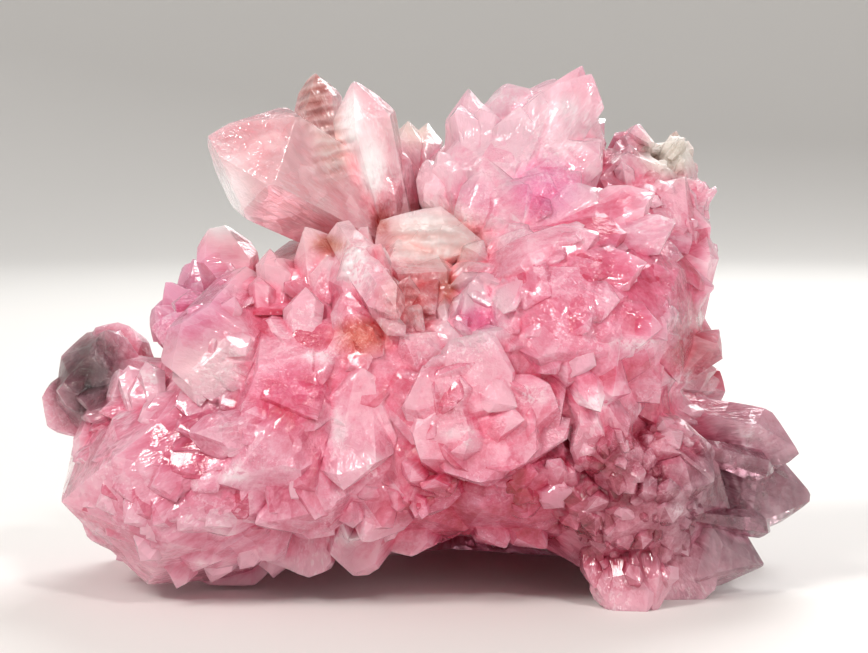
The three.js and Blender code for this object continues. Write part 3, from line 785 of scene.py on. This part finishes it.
def calm(mesh, field):
    """Brings the calm regions nearer to the blurred surface. A corner's height over it is about
    (level - depth) / slope, and it loses the zone's share of that along the slope."""
    corners, _ = mesh_arrays(mesh)
    loss = blend_zones(elevation(corners), CALM, 0) * np.clip(corners[:, 2] / CALM_FADE, 0, 1)
    slope = field.read(field.slope, corners)
    steep = np.maximum(np.linalg.norm(slope, axis=1), LEAST_SLOPE)
    height = np.clip((LIE_LEVEL - field.depth(corners)) / steep, -CALM_REACH, CALM_REACH)
    put_corners(mesh, corners + (loss * height / steep)[:, None] * slope)


# ---- Colours: zones are a middle and half sizes on the elevation ----

# The hue and the depth of colour of each zone.
ZONES = {
    "left_dome": ([-26, 16, 18, 16], (0.80, 0.37, 0.48), 1.2),
    "overhang": ([-18, 26, 5, 4], (0.82, 0.28, 0.41), 1.7),
    "right_dome": ([21, 37, 13, 13], (0.82, 0.32, 0.44), 1.3),
    "flower_fan": ([9, 55, 13, 11], (0.94, 0.56, 0.66), 0.75),
    "fan_heart": ([13.5, 51.0, 4.4, 3.6], (0.90, 0.34, 0.54), 0.9),
    "fan_foot": ([5.0, 49.5, 3.0, 3.0], (0.88, 0.36, 0.50), 0.9),
    "upper_left_spray": ([-17, 54, 14, 12], (0.93, 0.53, 0.57), 0.85),
    # Painted light: the lit lower face of the crystal at the upper left is paler.
    "painted_lit_face": ([-25.0, 49.6, 3.4, 4.6], (0.95, 0.80, 0.83), 0.5),
    "lower_brown": ([-12.2, 56.4, 2.4, 4.6], (0.84, 0.50, 0.47), 0.9),
    # Painted highlights: the edge and the side of the crystal beside it are paler.
    "painted_edge_highlight": ([-9.8, 59.0, 1.4, 3.6], (0.94, 0.80, 0.83), 0.6),
    "painted_side_highlight": ([-7.6, 54.0, 1.5, 3.8], (0.94, 0.80, 0.83), 0.6),
    "pale_plate": ([-27.2, 30.0, 4.6, 4.4], (0.92, 0.54, 0.61), 0.75),
    "cream_tips": ([-2.0, 58.6, 3.0, 2.6], (0.90, 0.66, 0.60), 0.7),
    "left_blades": ([-30, 38, 6, 6], (0.76, 0.29, 0.44), 1.25),
    "brown_crystal": ([-14.6, 62.4, 2.6, 4.4], (0.56, 0.27, 0.25), 1.6),
    "cream_ledge": ([-0.2, 44.8, 6.4, 4.2], (0.91, 0.60, 0.57), 1.0),
    "striated_prism": ([-2, 38, 4.5, 4.5], (0.78, 0.32, 0.34), 1.25),
    "small_rosette": ([5.2, 36.0, 5, 3.6], (0.93, 0.58, 0.68), 0.8),
    "rosette_heart": ([5.2, 35.4, 2.2, 1.6], (0.84, 0.26, 0.44), 1.2),
    "raspberry": ([8, 12, 13, 7], (0.72, 0.19, 0.30), 1.35),
    "spray_foot": ([23, 12, 9, 10], (0.57, 0.22, 0.29), 1.25),
    "mauve_spray": ([39, 12, 11, 13], (0.48, 0.26, 0.32), 1.0),
    "side_crystal": ([32.4, 31, 3.6, 4], (0.74, 0.25, 0.31), 1.2),
    "smoky_lobe": ([-41.4, 28.2, -3.0, 4.4, 6.0, 9.0], (0.012, 0.008, 0.010), 1.0),
    "matrix_chunk": ([28.6, 55.5, 4, 3.4], (0.56, 0.50, 0.44), 0.9),
    "stain_middle": ([-8.6, 33.2, 3.2, 2.2], (0.70, 0.20, 0.16), 1.2),
    "stain_left": ([-12.6, 44.2, 2.2, 1.2], (0.60, 0.20, 0.15), 1.4),
    "stain_right": ([1.6, 39.0, 1.2, 2.0], (0.62, 0.20, 0.16), 1.3),
    "stain_crease": ([-6.3, 46.8, 1.0, 1.6], (0.55, 0.16, 0.14), 1.4),
}

# Where the quartz is clear instead of milky, and how much.
CLEAR = [
    ([-18, 53, 11, 8], 0.5),
    ([-25.2, 49.6, 3.2, 4.4], 0.15),
    ([-7.0, 57, 4.0, 8], 0.3),
    ([-9.8, 59.0, 1.7, 3.6], 0.1),
    ([-7.4, 54.0, 1.9, 4.0], 0.1),
    ([38, 13, 9, 12], 0.65),
    ([32, 32, 4, 5], 0.45),
    ([-28, 30, 6, 5], 0.35),
    ([-41.4, 28.2, -3.0, 4.6, 6.4, 9.0], 0.9),
    ([28.6, 55.5, 4, 3.4], 0.0),
    ([10, 56, 11, 9], 0.35),
    ([2, 42, 7, 6], 0.4),
]

# Where growth lines ripple the faces, and how strongly.
RIPPLED = [
    ([-1, 45, 5, 4], 1.0),
    ([-14.6, 62, 3, 4], 1.0),
    ([-12.2, 56.4, 2.4, 4.6], 0.9),
    ([-2, 38, 4, 4], 0.6),
    ([-10, 42, 3, 3], 0.5),
    ([38, 13, 8, 10], 0.35),
]

# Where the surface is dull: the matrix, and the etched face of the ledge.
DULL = [
    ([28.6, 55.5, 4, 3.4], 1.0),
    ([-0.2, 44.8, 6.4, 4.2], 0.35),
]

# Painted glints: patches whitened to stand for light caught by broken growth, and how strong they are.
PAINTED_GLINTS = [
    ([24.0, 32.3, 3.4, 1.1], 1.0),
    ([19.8, 25.4, 2.2, 1.6], 1.0),
    ([11.6, 26.2, 2.4, 1.6], 1.0),
    ([-13.8, 31.0, 2.2, 0.9], 1.0),
    ([-9.5, 42.0, 2.0, 3.2], 1.0),
    ([29.8, 27.9, 1.3, 1.0], 1.0),
    ([29.4, 12.4, 1.1, 0.7], 0.8),
    ([-10.5, 8.8, 2.4, 0.8], 0.9),
    ([-28.0, 6.0, 1.4, 0.8], 0.8),
    ([-25.5, 9.6, 1.8, 0.9], 0.8),
    ([-24.2, 16.6, 2.6, 1.3], 0.9),
    ([12.5, 42.0, 0.9, 1.3], 0.8),
    ([2.6, 21.6, 2.6, 1.0], 0.9),
    ([-11.7, 22.4, 1.2, 3.0], 1.0),
    ([-7.6, 17.4, 1.8, 2.0], 0.9),
    ([-34.3, 28.2, 1.4, 1.6], 1.0),
    ([-37.0, 24.0, 1.0, 3.0], 0.7),
    ([8.4, 61.8, 3.2, 1.0], 0.8),
    ([16.0, 60.6, 2.0, 1.6], 0.7),
    ([37.6, 20.6, 0.9, 2.2], 0.8),
    ([27.0, 47.4, 3.0, 0.9], 0.7),
    ([33.4, 44.0, 1.0, 3.4], 0.7),
    ([-1.4, 46.6, 3.0, 1.4], 0.6),
    ([22.0, 46.4, 5.0, 1.2], 0.5),
    ([-42.6, 19.8, 1.3, 1.6], 0.8),
    ([-41.6, 30.8, 1.8, 0.8], 0.6),
    ([-40.2, 25.4, 0.9, 1.6], 0.5),
    ([-25.8, 48.4, 2.0, 3.4], 0.8),
    ([-9.6, 59.6, 1.0, 3.0], 0.9),
    ([-7.2, 53.6, 1.2, 3.0], 0.9),
]

SURFACE_POINTS = 600000
FOLD_BLUR = 1.0  # millimetres, of the field that finds the folds, and of that for the hollows
HOLLOW_BLUR = 3.5
OPEN_DEPTH = 0.55  # depth of colour on open faces, as a share of the zone's; painted shade adds to it
SHADE_START = 0.3  # level of both fields from which painted shade deepens the colour
FOLD_MOST = 0.5  # most painted shade that the folds add
HOLLOW_MOST = 0.6
HOLLOW_WEIGHT = 0.8


def colour_attributes(mesh, settings, rng):
    """Values at every corner for the material to read: the hue and the depth of colour, with painted
    shade deepening it in the folds and hollows, how clear, rippled and dull it is, and painted glints."""
    corners, _ = mesh_arrays(mesh)
    points, normals, area = scatter(mesh, SURFACE_POINTS, rng)
    fold = Field(points, normals, area, FOLD_BLUR).depth(corners)
    hollow = Field(points, normals, area, HOLLOW_BLUR).depth(corners)
    place = elevation(corners)
    tones = [(zone, (*hue, depth)) for zone, hue, depth in ZONES.values()]
    tone = blend_zones(place, tones, (*settings.pink, 1))
    # Painted shade: the colour grows deeper in the folds and the hollows.
    folds = np.clip(fold - SHADE_START, 0, FOLD_MOST)
    hollows = np.clip(hollow - SHADE_START, 0, HOLLOW_MOST)
    painted_crease_shade = OPEN_DEPTH + folds + HOLLOW_WEIGHT * hollows
    opaque = np.ones((len(corners), 1))
    add_layer(mesh, "hue", "FLOAT_COLOR", "POINT", np.concatenate([tone[:, :3], opaque], 1))
    add_layer(mesh, "grain", "FLOAT_VECTOR", "POINT", grain_places(corners) * MM)
    add_layer(mesh, "shade", "FLOAT", "POINT", tone[:, 3] * painted_crease_shade)
    add_layer(mesh, "fold", "FLOAT", "POINT", fold)
    add_layer(mesh, "clear", "FLOAT", "POINT", blend_zones(place, CLEAR, settings.clearness))
    for name, zones in dict(ripple=RIPPLED, dull=DULL, painted_glint=PAINTED_GLINTS).items():
        add_layer(mesh, name, "FLOAT", "POINT", blend_zones(place, zones, 0))


# ---- Materials ----


class Value:
    """A shader value. Arithmetic on it adds Math nodes."""

    def __init__(self, paint, socket):
        self.paint, self.socket = paint, socket

    def math(self, operation, *values):
        """A Math node on the values."""
        return self.paint.add("Math", dict(operation=operation), *values)

    def __add__(self, other):
        return self.math("ADD", self, other)

    def __sub__(self, other):
        return self.math("SUBTRACT", self, other)

    def __rsub__(self, other):
        return self.math("SUBTRACT", other, self)

    def __mul__(self, other):
        return self.math("MULTIPLY", self, other)

    __radd__ = __add__
    __rmul__ = __mul__

    def at_least(self, least):
        """The value, or the least where it is lower."""
        return self.math("MAXIMUM", self, least)

    def clamp(self, low, high):
        """0 below low, 1 above high and a straight line between."""
        return self.paint.add("MapRange", {}, self, low, high, 0.0, 1.0)


class Paint:
    """Adds nodes to one material."""

    def __init__(self, name):
        self.material = bpy.data.materials.new(name)
        self.material.use_nodes = True
        self.tree = self.material.node_tree
        self.tree.nodes.clear()

    def add(self, kind, settings, *inputs, out=0, **named):
        """A node of the type, with its settings first and then its sockets, in order or by name.
        Gives the output named or numbered by `out`."""
        node = self.tree.nodes.new("ShaderNode" + kind)
        for name, value in settings.items():
            setattr(node, name, value)
        sockets = dict(enumerate(inputs))
        sockets.update((name.replace("_", " "), value) for name, value in named.items())
        for key, value in sockets.items():
            socket = node.inputs[key]
            if isinstance(value, Value):
                self.tree.links.new(value.socket, socket)
            elif socket.type == "RGBA":
                socket.default_value = (*value[:3], 1)
            else:
                socket.default_value = value
        return Value(self, node.outputs[out])

    def attribute(self, name, out="Fac"):
        """One of the mesh's own values."""
        return self.add("Attribute", dict(attribute_name=name), out=out)

    def vector(self, operation, *inputs, **named):
        """A Vector Math node on places, directions or colours."""
        return self.add("VectorMath", dict(operation=operation), *inputs, **named)

    def noise(self, place, scale, detail, rough=0.5, distortion=0.0, out=0):
        """Noise with `scale` lumps to a metre."""
        sockets = dict(Vector=place, Scale=scale, Detail=detail, Roughness=rough, Distortion=distortion)
        return self.add("TexNoise", {}, out=out, **sockets)

    def cells(self, place, scale):
        """A random colour for each of the cells, `scale` to a metre."""
        return self.add("TexVoronoi", {}, out="Color", Vector=place, Scale=scale)

    def finish(self, **shaders):
        """Links the shaders to the material's output."""
        output = self.tree.nodes.new("ShaderNodeOutputMaterial")
        for name, shader in shaders.items():
            self.tree.links.new(shader.socket, output.inputs[name])
        return self.material


# How many to a metre there are of each pattern in the quartz.
CLOUDS = 150.0
FOG = 45.0
WISPS = 90.0
BREAKS = 120.0
FIBRES = 650.0
FEATHERS = 1500.0
WARPS = 160.0
STEPS = 380.0
CHIPS = 1100.0
RINGS = 220.0
WARP_REACH = 0.006  # metres that the edges of the steps and chips are bent by

QUARTZ_INDEX = 1.54  # how strongly quartz bends light
LEAST_DEPTH = 0.7  # of colour, before the painted glints and the ripples
STEP_TILT = 0.4  # how far the steps and the chips turn the face, from side to side
CHIP_TILT = 0.5
RELIEF = 0.0007  # height in metres, and how strongly it counts
RELIEF_STRENGTH = 0.45
MILK = 0.45  # share of the milky quartz's light that scatters within
MILK_REACH = 0.0028  # metres that it scatters over
MILK_SPREAD = (0.8, 1.0, 0.95)  # share of that for each colour
COAT = 0.6  # strength of the gloss on open faces
COAT_ROUGHNESS = 0.05
FACE_ROUGHNESS = 0.06  # of the quartz below it, where growth is even
CLEAR_TINT = 0.55  # depth of the clear quartz's colour, as a share of the milky one's
SHADE_WITHIN = (1.0, 0.62, 0.72)  # colour of the light that the inside lets through
SHADE_STRENGTH = 60.0  # to a metre


class Growth:
    """The patterns that the quartz's colour, relief and clearness share: clouds, fog and wisps,
    fibres and feathers along the grain, flat steps and chips, growth rings, and breakage."""

    def __init__(self, paint):
        place = paint.add("TexCoord", {}, out="Object")
        grain = paint.attribute("grain", "Vector")
        self.cloud = paint.noise(place, CLOUDS, 3.0, 0.55, 0.5)
        self.fog = paint.noise(place, FOG, 2.0)
        self.wisp = paint.noise(place, WISPS, 2.0, 0.6, 1.5).clamp(0.5, 0.7)
        self.breakage = paint.noise(place, BREAKS, 1.0)
        self.broken = self.breakage.clamp(0.42, 0.62)
        self.fibre = paint.noise(grain, FIBRES, 3.0, 0.68)
        self.feather = paint.noise(grain, FEATHERS, 2.0, 0.7)
        warp = paint.noise(place, WARPS, 1.0, out="Color")
        bent = paint.vector("MULTIPLY_ADD", warp, (WARP_REACH,) * 3, place)
        self.steps = paint.cells(bent, STEPS)
        self.chips = paint.cells(bent, CHIPS)
        rings = dict(Vector=place, Scale=RINGS, Distortion=3.0, Detail=1.0, Detail_Scale=1.5)
        rings = paint.add("TexWave", dict(wave_type="RINGS", rings_direction="Y"), **rings)
        self.ripple = rings * paint.attribute("ripple")
        self.fold = paint.attribute("fold")
        self.deep = self.fold.clamp(0.52, 0.64)
        self.clear = paint.attribute("clear")
        self.dull = paint.attribute("dull")


def colour_depth(paint, growth):
    """How deep the colour is. The zone's depth with its painted shade and the crystal's own, which
    gives way to painted shade in the folds, are multiplied by the clouds, the fibres and the steps.
    Painted glints pale streaks of broken growth away from the folds and whiten the glinting
    patches, and the crests of the ripples are paler too."""
    own = paint.attribute("depth")
    # Painted shade: in the folds the crystal's own depth gives way to the full depth.
    own = own + (1 - own) * growth.fold.clamp(0.5, 0.68)
    depth = paint.attribute("shade") * own * (0.35 + growth.cloud + 0.9 * growth.fog)
    depth = depth * (1 - 0.3 * growth.wisp) * (0.45 + 1.1 * growth.fibre) * (0.7 + 0.6 * growth.feather)
    depth = depth * (0.88 + 0.24 * paint.add("SeparateColor", {}, growth.steps, out="Green"))
    # Painted glints: streaks of broken growth away from the folds are paler.
    painted_streak_glint = growth.feather.clamp(0.53, 0.61) * growth.breakage.clamp(0.46, 0.58)
    painted_streak_glint = painted_streak_glint * (1 - growth.fold.clamp(0.5, 0.6))
    # Painted glints: the glinting patches are whitened.
    painted_patch_glint = paint.attribute("painted_glint") * (0.5 * growth.feather + 0.5 * growth.cloud).clamp(0.4, 0.5)
    depth = depth.at_least(LEAST_DEPTH) * (1 - 0.35 * painted_streak_glint) * (1 - 0.7 * painted_patch_glint)
    return depth * (1.15 - 0.5 * growth.ripple)


def tilted_relief(paint, growth):
    """The face's normal, turned a little on each step and, where growth is broken, on each chip,
    and then bumped by the fibres, the feathers and the ripples."""
    steps = paint.vector("MULTIPLY_ADD", growth.steps, (STEP_TILT,) * 3, (-STEP_TILT / 2,) * 3)
    chips = paint.vector("MULTIPLY_ADD", growth.chips, (CHIP_TILT,) * 3, (-CHIP_TILT / 2,) * 3)
    tilt = paint.vector("ADD", steps, paint.vector("SCALE", chips, Scale=growth.broken))
    tilt = paint.vector("SCALE", tilt, Scale=1 - 0.4 * growth.clear)
    tilted = paint.vector("ADD", paint.add("NewGeometry", {}, out="Normal"), tilt)
    fibres = (0.4 + 1.2 * growth.broken) * (1 - 0.6 * growth.clear) * growth.fibre
    height = fibres + 0.4 * growth.feather + 1.2 * growth.ripple
    base = paint.vector("NORMALIZE", tilted)
    return paint.add("Bump", {}, Strength=RELIEF_STRENGTH, Distance=RELIEF, Height=height, Normal=base)


def quartz_material():
    """Milky and clear pink quartz. Its colour is the hue raised to a depth, as light loses it on
    its way. The milky quartz scatters light within and has a gloss that fades in the folds. Clear
    quartz is mixed in where the zones and the clouds let it be, and the inside takes up light."""
    paint = Paint("rose_quartz")
    growth = Growth(paint)
    colour = paint.add("Gamma", {}, paint.attribute("hue", "Color"), colour_depth(paint, growth))
    uneven = (0.16 * growth.broken + 0.1 * growth.wisp) * (1 - growth.clear)
    rough = FACE_ROUGHNESS + uneven + 0.5 * growth.dull
    face = dict(Roughness=rough, Normal=tilted_relief(paint, growth), IOR=QUARTZ_INDEX)
    milky = paint.add(
        "BsdfPrincipled",
        dict(subsurface_method="RANDOM_WALK"),
        Base_Color=colour,
        Subsurface_Weight=MILK,
        Subsurface_Radius=MILK_SPREAD,
        Subsurface_Scale=MILK_REACH,
        Coat_Weight=COAT * (1 - growth.deep) * (1 - growth.dull),
        Coat_Roughness=COAT_ROUGHNESS,
        Coat_IOR=QUARTZ_INDEX,
        **face,
    )
    tint = paint.add("Gamma", {}, colour, CLEAR_TINT)
    clear = paint.add("BsdfPrincipled", {}, Base_Color=tint, Transmission_Weight=1.0, **face)
    share = growth.clear * (1.25 - 0.5 * growth.cloud - 0.5 * growth.wisp) * (1 - growth.deep)
    surface = paint.add("MixShader", {}, share, milky, clear)
    inside = paint.add("VolumeAbsorption", {}, Color=SHADE_WITHIN, Density=SHADE_STRENGTH)
    return paint.finish(Surface=surface, Volume=inside)


def plain_material(name, colour, roughness):
    """A material of one colour."""
    paint = Paint(name)
    return paint.finish(Surface=paint.add("BsdfPrincipled", {}, Base_Color=colour, Roughness=roughness))


# ---- Stage: sizes and places in metres ----

FLOOR_HEART = 0.02  # radius of the face in the floor's middle
FLOOR_RADIUS = 0.7
WALL_BEND = 0.5
WALL_END = math.radians(80)
FLAT_STEPS = 12
BEND_STEPS = 24
TURNS = 96
FLOOR_ROUGHNESS = 0.7

# Place, size, watts and colour.
LAMPS = {
    "window": ((-0.45, -0.45, 0.6), 0.2, 4.3, (1.0, 0.96, 0.92)),
    "spark": ((0.3, -0.55, 0.6), 0.1, 2.1, (1.0, 0.96, 0.93)),
    "fill": ((0.4, -0.6, 0.12), 0.5, 1.2, (1.0, 0.96, 0.94)),
    "rim": ((0.15, 0.5, 0.5), 0.35, 3.4, (1.0, 1.0, 1.0)),
}
STUDIO_COLOUR = (1.0, 0.97, 0.95, 1)
STUDIO_STRENGTH = 0.35

VIEW_WIDTH = 104.16  # millimetres that the view covers at the eye's distance
SENSOR = 36.0


def floor_mesh():
    """A bowl: a profile turned about Z. Its radius is flat floor, then R + B*sin(a), and its
    height B*(1 - cos(a)) for the bend a from 0 to 80 degrees."""
    bend = np.linspace(0, WALL_END, BEND_STEPS)[1:]
    flat = np.linspace(FLOOR_HEART, FLOOR_RADIUS, FLAT_STEPS)
    radius = np.concatenate([flat, FLOOR_RADIUS + WALL_BEND * np.sin(bend)])[:, None]
    height = np.concatenate([0 * flat, WALL_BEND * (1 - np.cos(bend))])[:, None]
    turn = np.arange(TURNS) * 2 * np.pi / TURNS
    grid = np.stack(np.broadcast_arrays(radius * np.cos(turn), radius * np.sin(turn), height), -1)
    near = np.arange(TURNS)
    far = (near + 1) % TURNS
    ring = np.arange(len(radius) - 1)[:, None] * TURNS
    quads = np.stack([ring + near, ring + TURNS + near, ring + TURNS + far, ring + far], -1)
    faces = quads.reshape(-1, 4).tolist() + [tuple(range(TURNS))]
    mesh = bpy.data.meshes.new("floor")
    mesh.from_pydata(grid.reshape(-1, 3).tolist(), [], faces)
    mesh.shade_smooth()
    return mesh


def add_lamps(brightness):
    """Square lamps that look at the cluster."""
    for name, (place, size, watts, colour) in LAMPS.items():
        light = bpy.data.lights.new(name, "AREA")
        light.size, light.energy, light.color = size, watts * brightness, colour
        lamp = new_object(name, light)
        lamp.location = place
        lamp.rotation_euler = (Vector(AIM * MM) - lamp.location).to_track_quat("-Z", "Y").to_euler()


def studio_world():
    """An even pale light all round."""
    world = bpy.data.worlds.new("studio")
    world.use_nodes = True
    background = world.node_tree.nodes["Background"]
    background.inputs["Color"].default_value = STUDIO_COLOUR
    background.inputs["Strength"].default_value = STUDIO_STRENGTH
    return world


def add_camera():
    """A camera at the eye, whose lens is sensor * distance / width of the view."""
    camera = new_object("camera", bpy.data.cameras.new("camera"))
    camera.data.sensor_width = SENSOR
    camera.data.lens = SENSOR * EYE_DISTANCE / VIEW_WIDTH
    camera.data.clip_start, camera.data.clip_end = 0.01, 10
    camera.location = EYE * MM
    camera.rotation_euler = (math.pi / 2 - EYE_TILT, 0, 0)
    return camera


# ---- Settings, operators and panel ----

SOLID_POINTS = 400000
BROAD_BLUR = 3.0  # of the field that the fine crystals lie along, in millimetres


class RoseQuartzSettings(bpy.types.PropertyGroup):
    """The sizes and colours that a user would change"""

    pink: bpy.props.FloatVectorProperty(
        name="Pink",
        description="Hue of the quartz between the colour zones",
        default=(0.83, 0.35, 0.45),
        size=3,
        min=0,
        max=1,
        subtype="COLOR",
    )
    clearness: bpy.props.FloatProperty(
        name="Clearness",
        description="Share of clear quartz in the milky quartz between the clear zones",
        default=0.2,
        min=0,
        max=1,
        subtype="FACTOR",
    )
    spacing: bpy.props.FloatProperty(
        name="Spacing",
        description="Distance between the fine crystals, as a share of the usual one",
        default=1.0,
        min=0.7,
        max=3,
        subtype="FACTOR",
    )
    longest_side: bpy.props.FloatProperty(
        name="Longest side",
        description="Longest side of a triangle in the finer mesh",
        default=0.002,
        min=0.0015,
        max=0.02,
        unit="LENGTH",
    )
    floor: bpy.props.FloatVectorProperty(
        name="Floor",
        description="Colour of the floor",
        default=(0.8, 0.79, 0.77),
        size=3,
        min=0,
        max=1,
        subtype="COLOR",
    )
    brightness: bpy.props.FloatProperty(
        name="Brightness",
        description="Strength of the lamps, as a share of the usual one",
        default=1.0,
        min=0,
        max=4,
        subtype="FACTOR",
    )


class QUARTZ_OT_grow(bpy.types.Operator):
    """Grow the fine crystals on the solid and join them with it into one closed mesh"""

    bl_idname = "quartz.grow"
    bl_label = "Grow the cluster"

    def execute(self, context):
        settings = context.scene.rose_quartz
        rng = np.random.default_rng(SEED)
        solid = merged_solid()
        facet_depths(solid, rng)
        points, normals, area = scatter(solid, SOLID_POINTS, rng)
        field = Field(points, normals, area, BROAD_BLUR)
        collection = bpy.data.collections.new("fine_crystals")
        grow_lobes(collection, points, field, settings.spacing, rng)
        place_singles(collection, Surface(solid), field, rng)
        cluster = join_and_cut(solid, collection)
        mesh = cluster.data = refine(cluster.data, settings.longest_side / MM)
        soften(mesh)
        calm(mesh, field)
        colour_attributes(mesh, settings, rng)
        mesh.shade_smooth()
        mesh.set_sharp_from_angle(angle=CREASE)
        mesh.materials.clear()
        mesh.materials.append(quartz_material())
        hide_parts(NODE)
        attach(cluster, "root")
        return {"FINISHED"}


class QUARTZ_OT_stage(bpy.types.Operator):
    """Add the floor, the lamps and the camera"""

    bl_idname = "quartz.stage"
    bl_label = "Set the stage"

    def execute(self, context):
        scene = context.scene
        settings = scene.rose_quartz
        floor = new_object("floor", floor_mesh())
        floor.data.materials.append(plain_material("pale_floor", settings.floor, FLOOR_ROUGHNESS))
        add_lamps(settings.brightness)
        scene.world = studio_world()
        scene.camera = add_camera()
        scene.view_settings.view_transform = "Standard"
        return {"FINISHED"}


class QUARTZ_PT_panel(bpy.types.Panel):
    """The settings, and a button for each operator"""

    bl_label = "Rose quartz cluster"
    bl_idname = "QUARTZ_PT_panel"
    bl_space_type = "VIEW_3D"
    bl_region_type = "UI"
    bl_category = "Rose quartz"

    def draw(self, context):
        for name in RoseQuartzSettings.__annotations__:
            self.layout.prop(context.scene.rose_quartz, name)
        for operator in OPERATORS:
            self.layout.operator(operator.bl_idname)


OPERATORS = (QUARTZ_OT_grow, QUARTZ_OT_stage)
CLASSES = (RoseQuartzSettings, *OPERATORS, QUARTZ_PT_panel)


def register():
    """Makes the settings, the operators and the panel known."""
    for cls in CLASSES:
        bpy.utils.register_class(cls)
    bpy.types.Scene.rose_quartz = bpy.props.PointerProperty(type=RoseQuartzSettings)


def unregister():
    """Takes them away again."""
    del bpy.types.Scene.rose_quartz
    for cls in reversed(CLASSES):
        bpy.utils.unregister_class(cls)


def main():
    """Builds the cluster and its stage."""
    register()
    bpy.ops.quartz.grow()
    bpy.ops.quartz.stage()


if __name__ == "__main__":
    main()
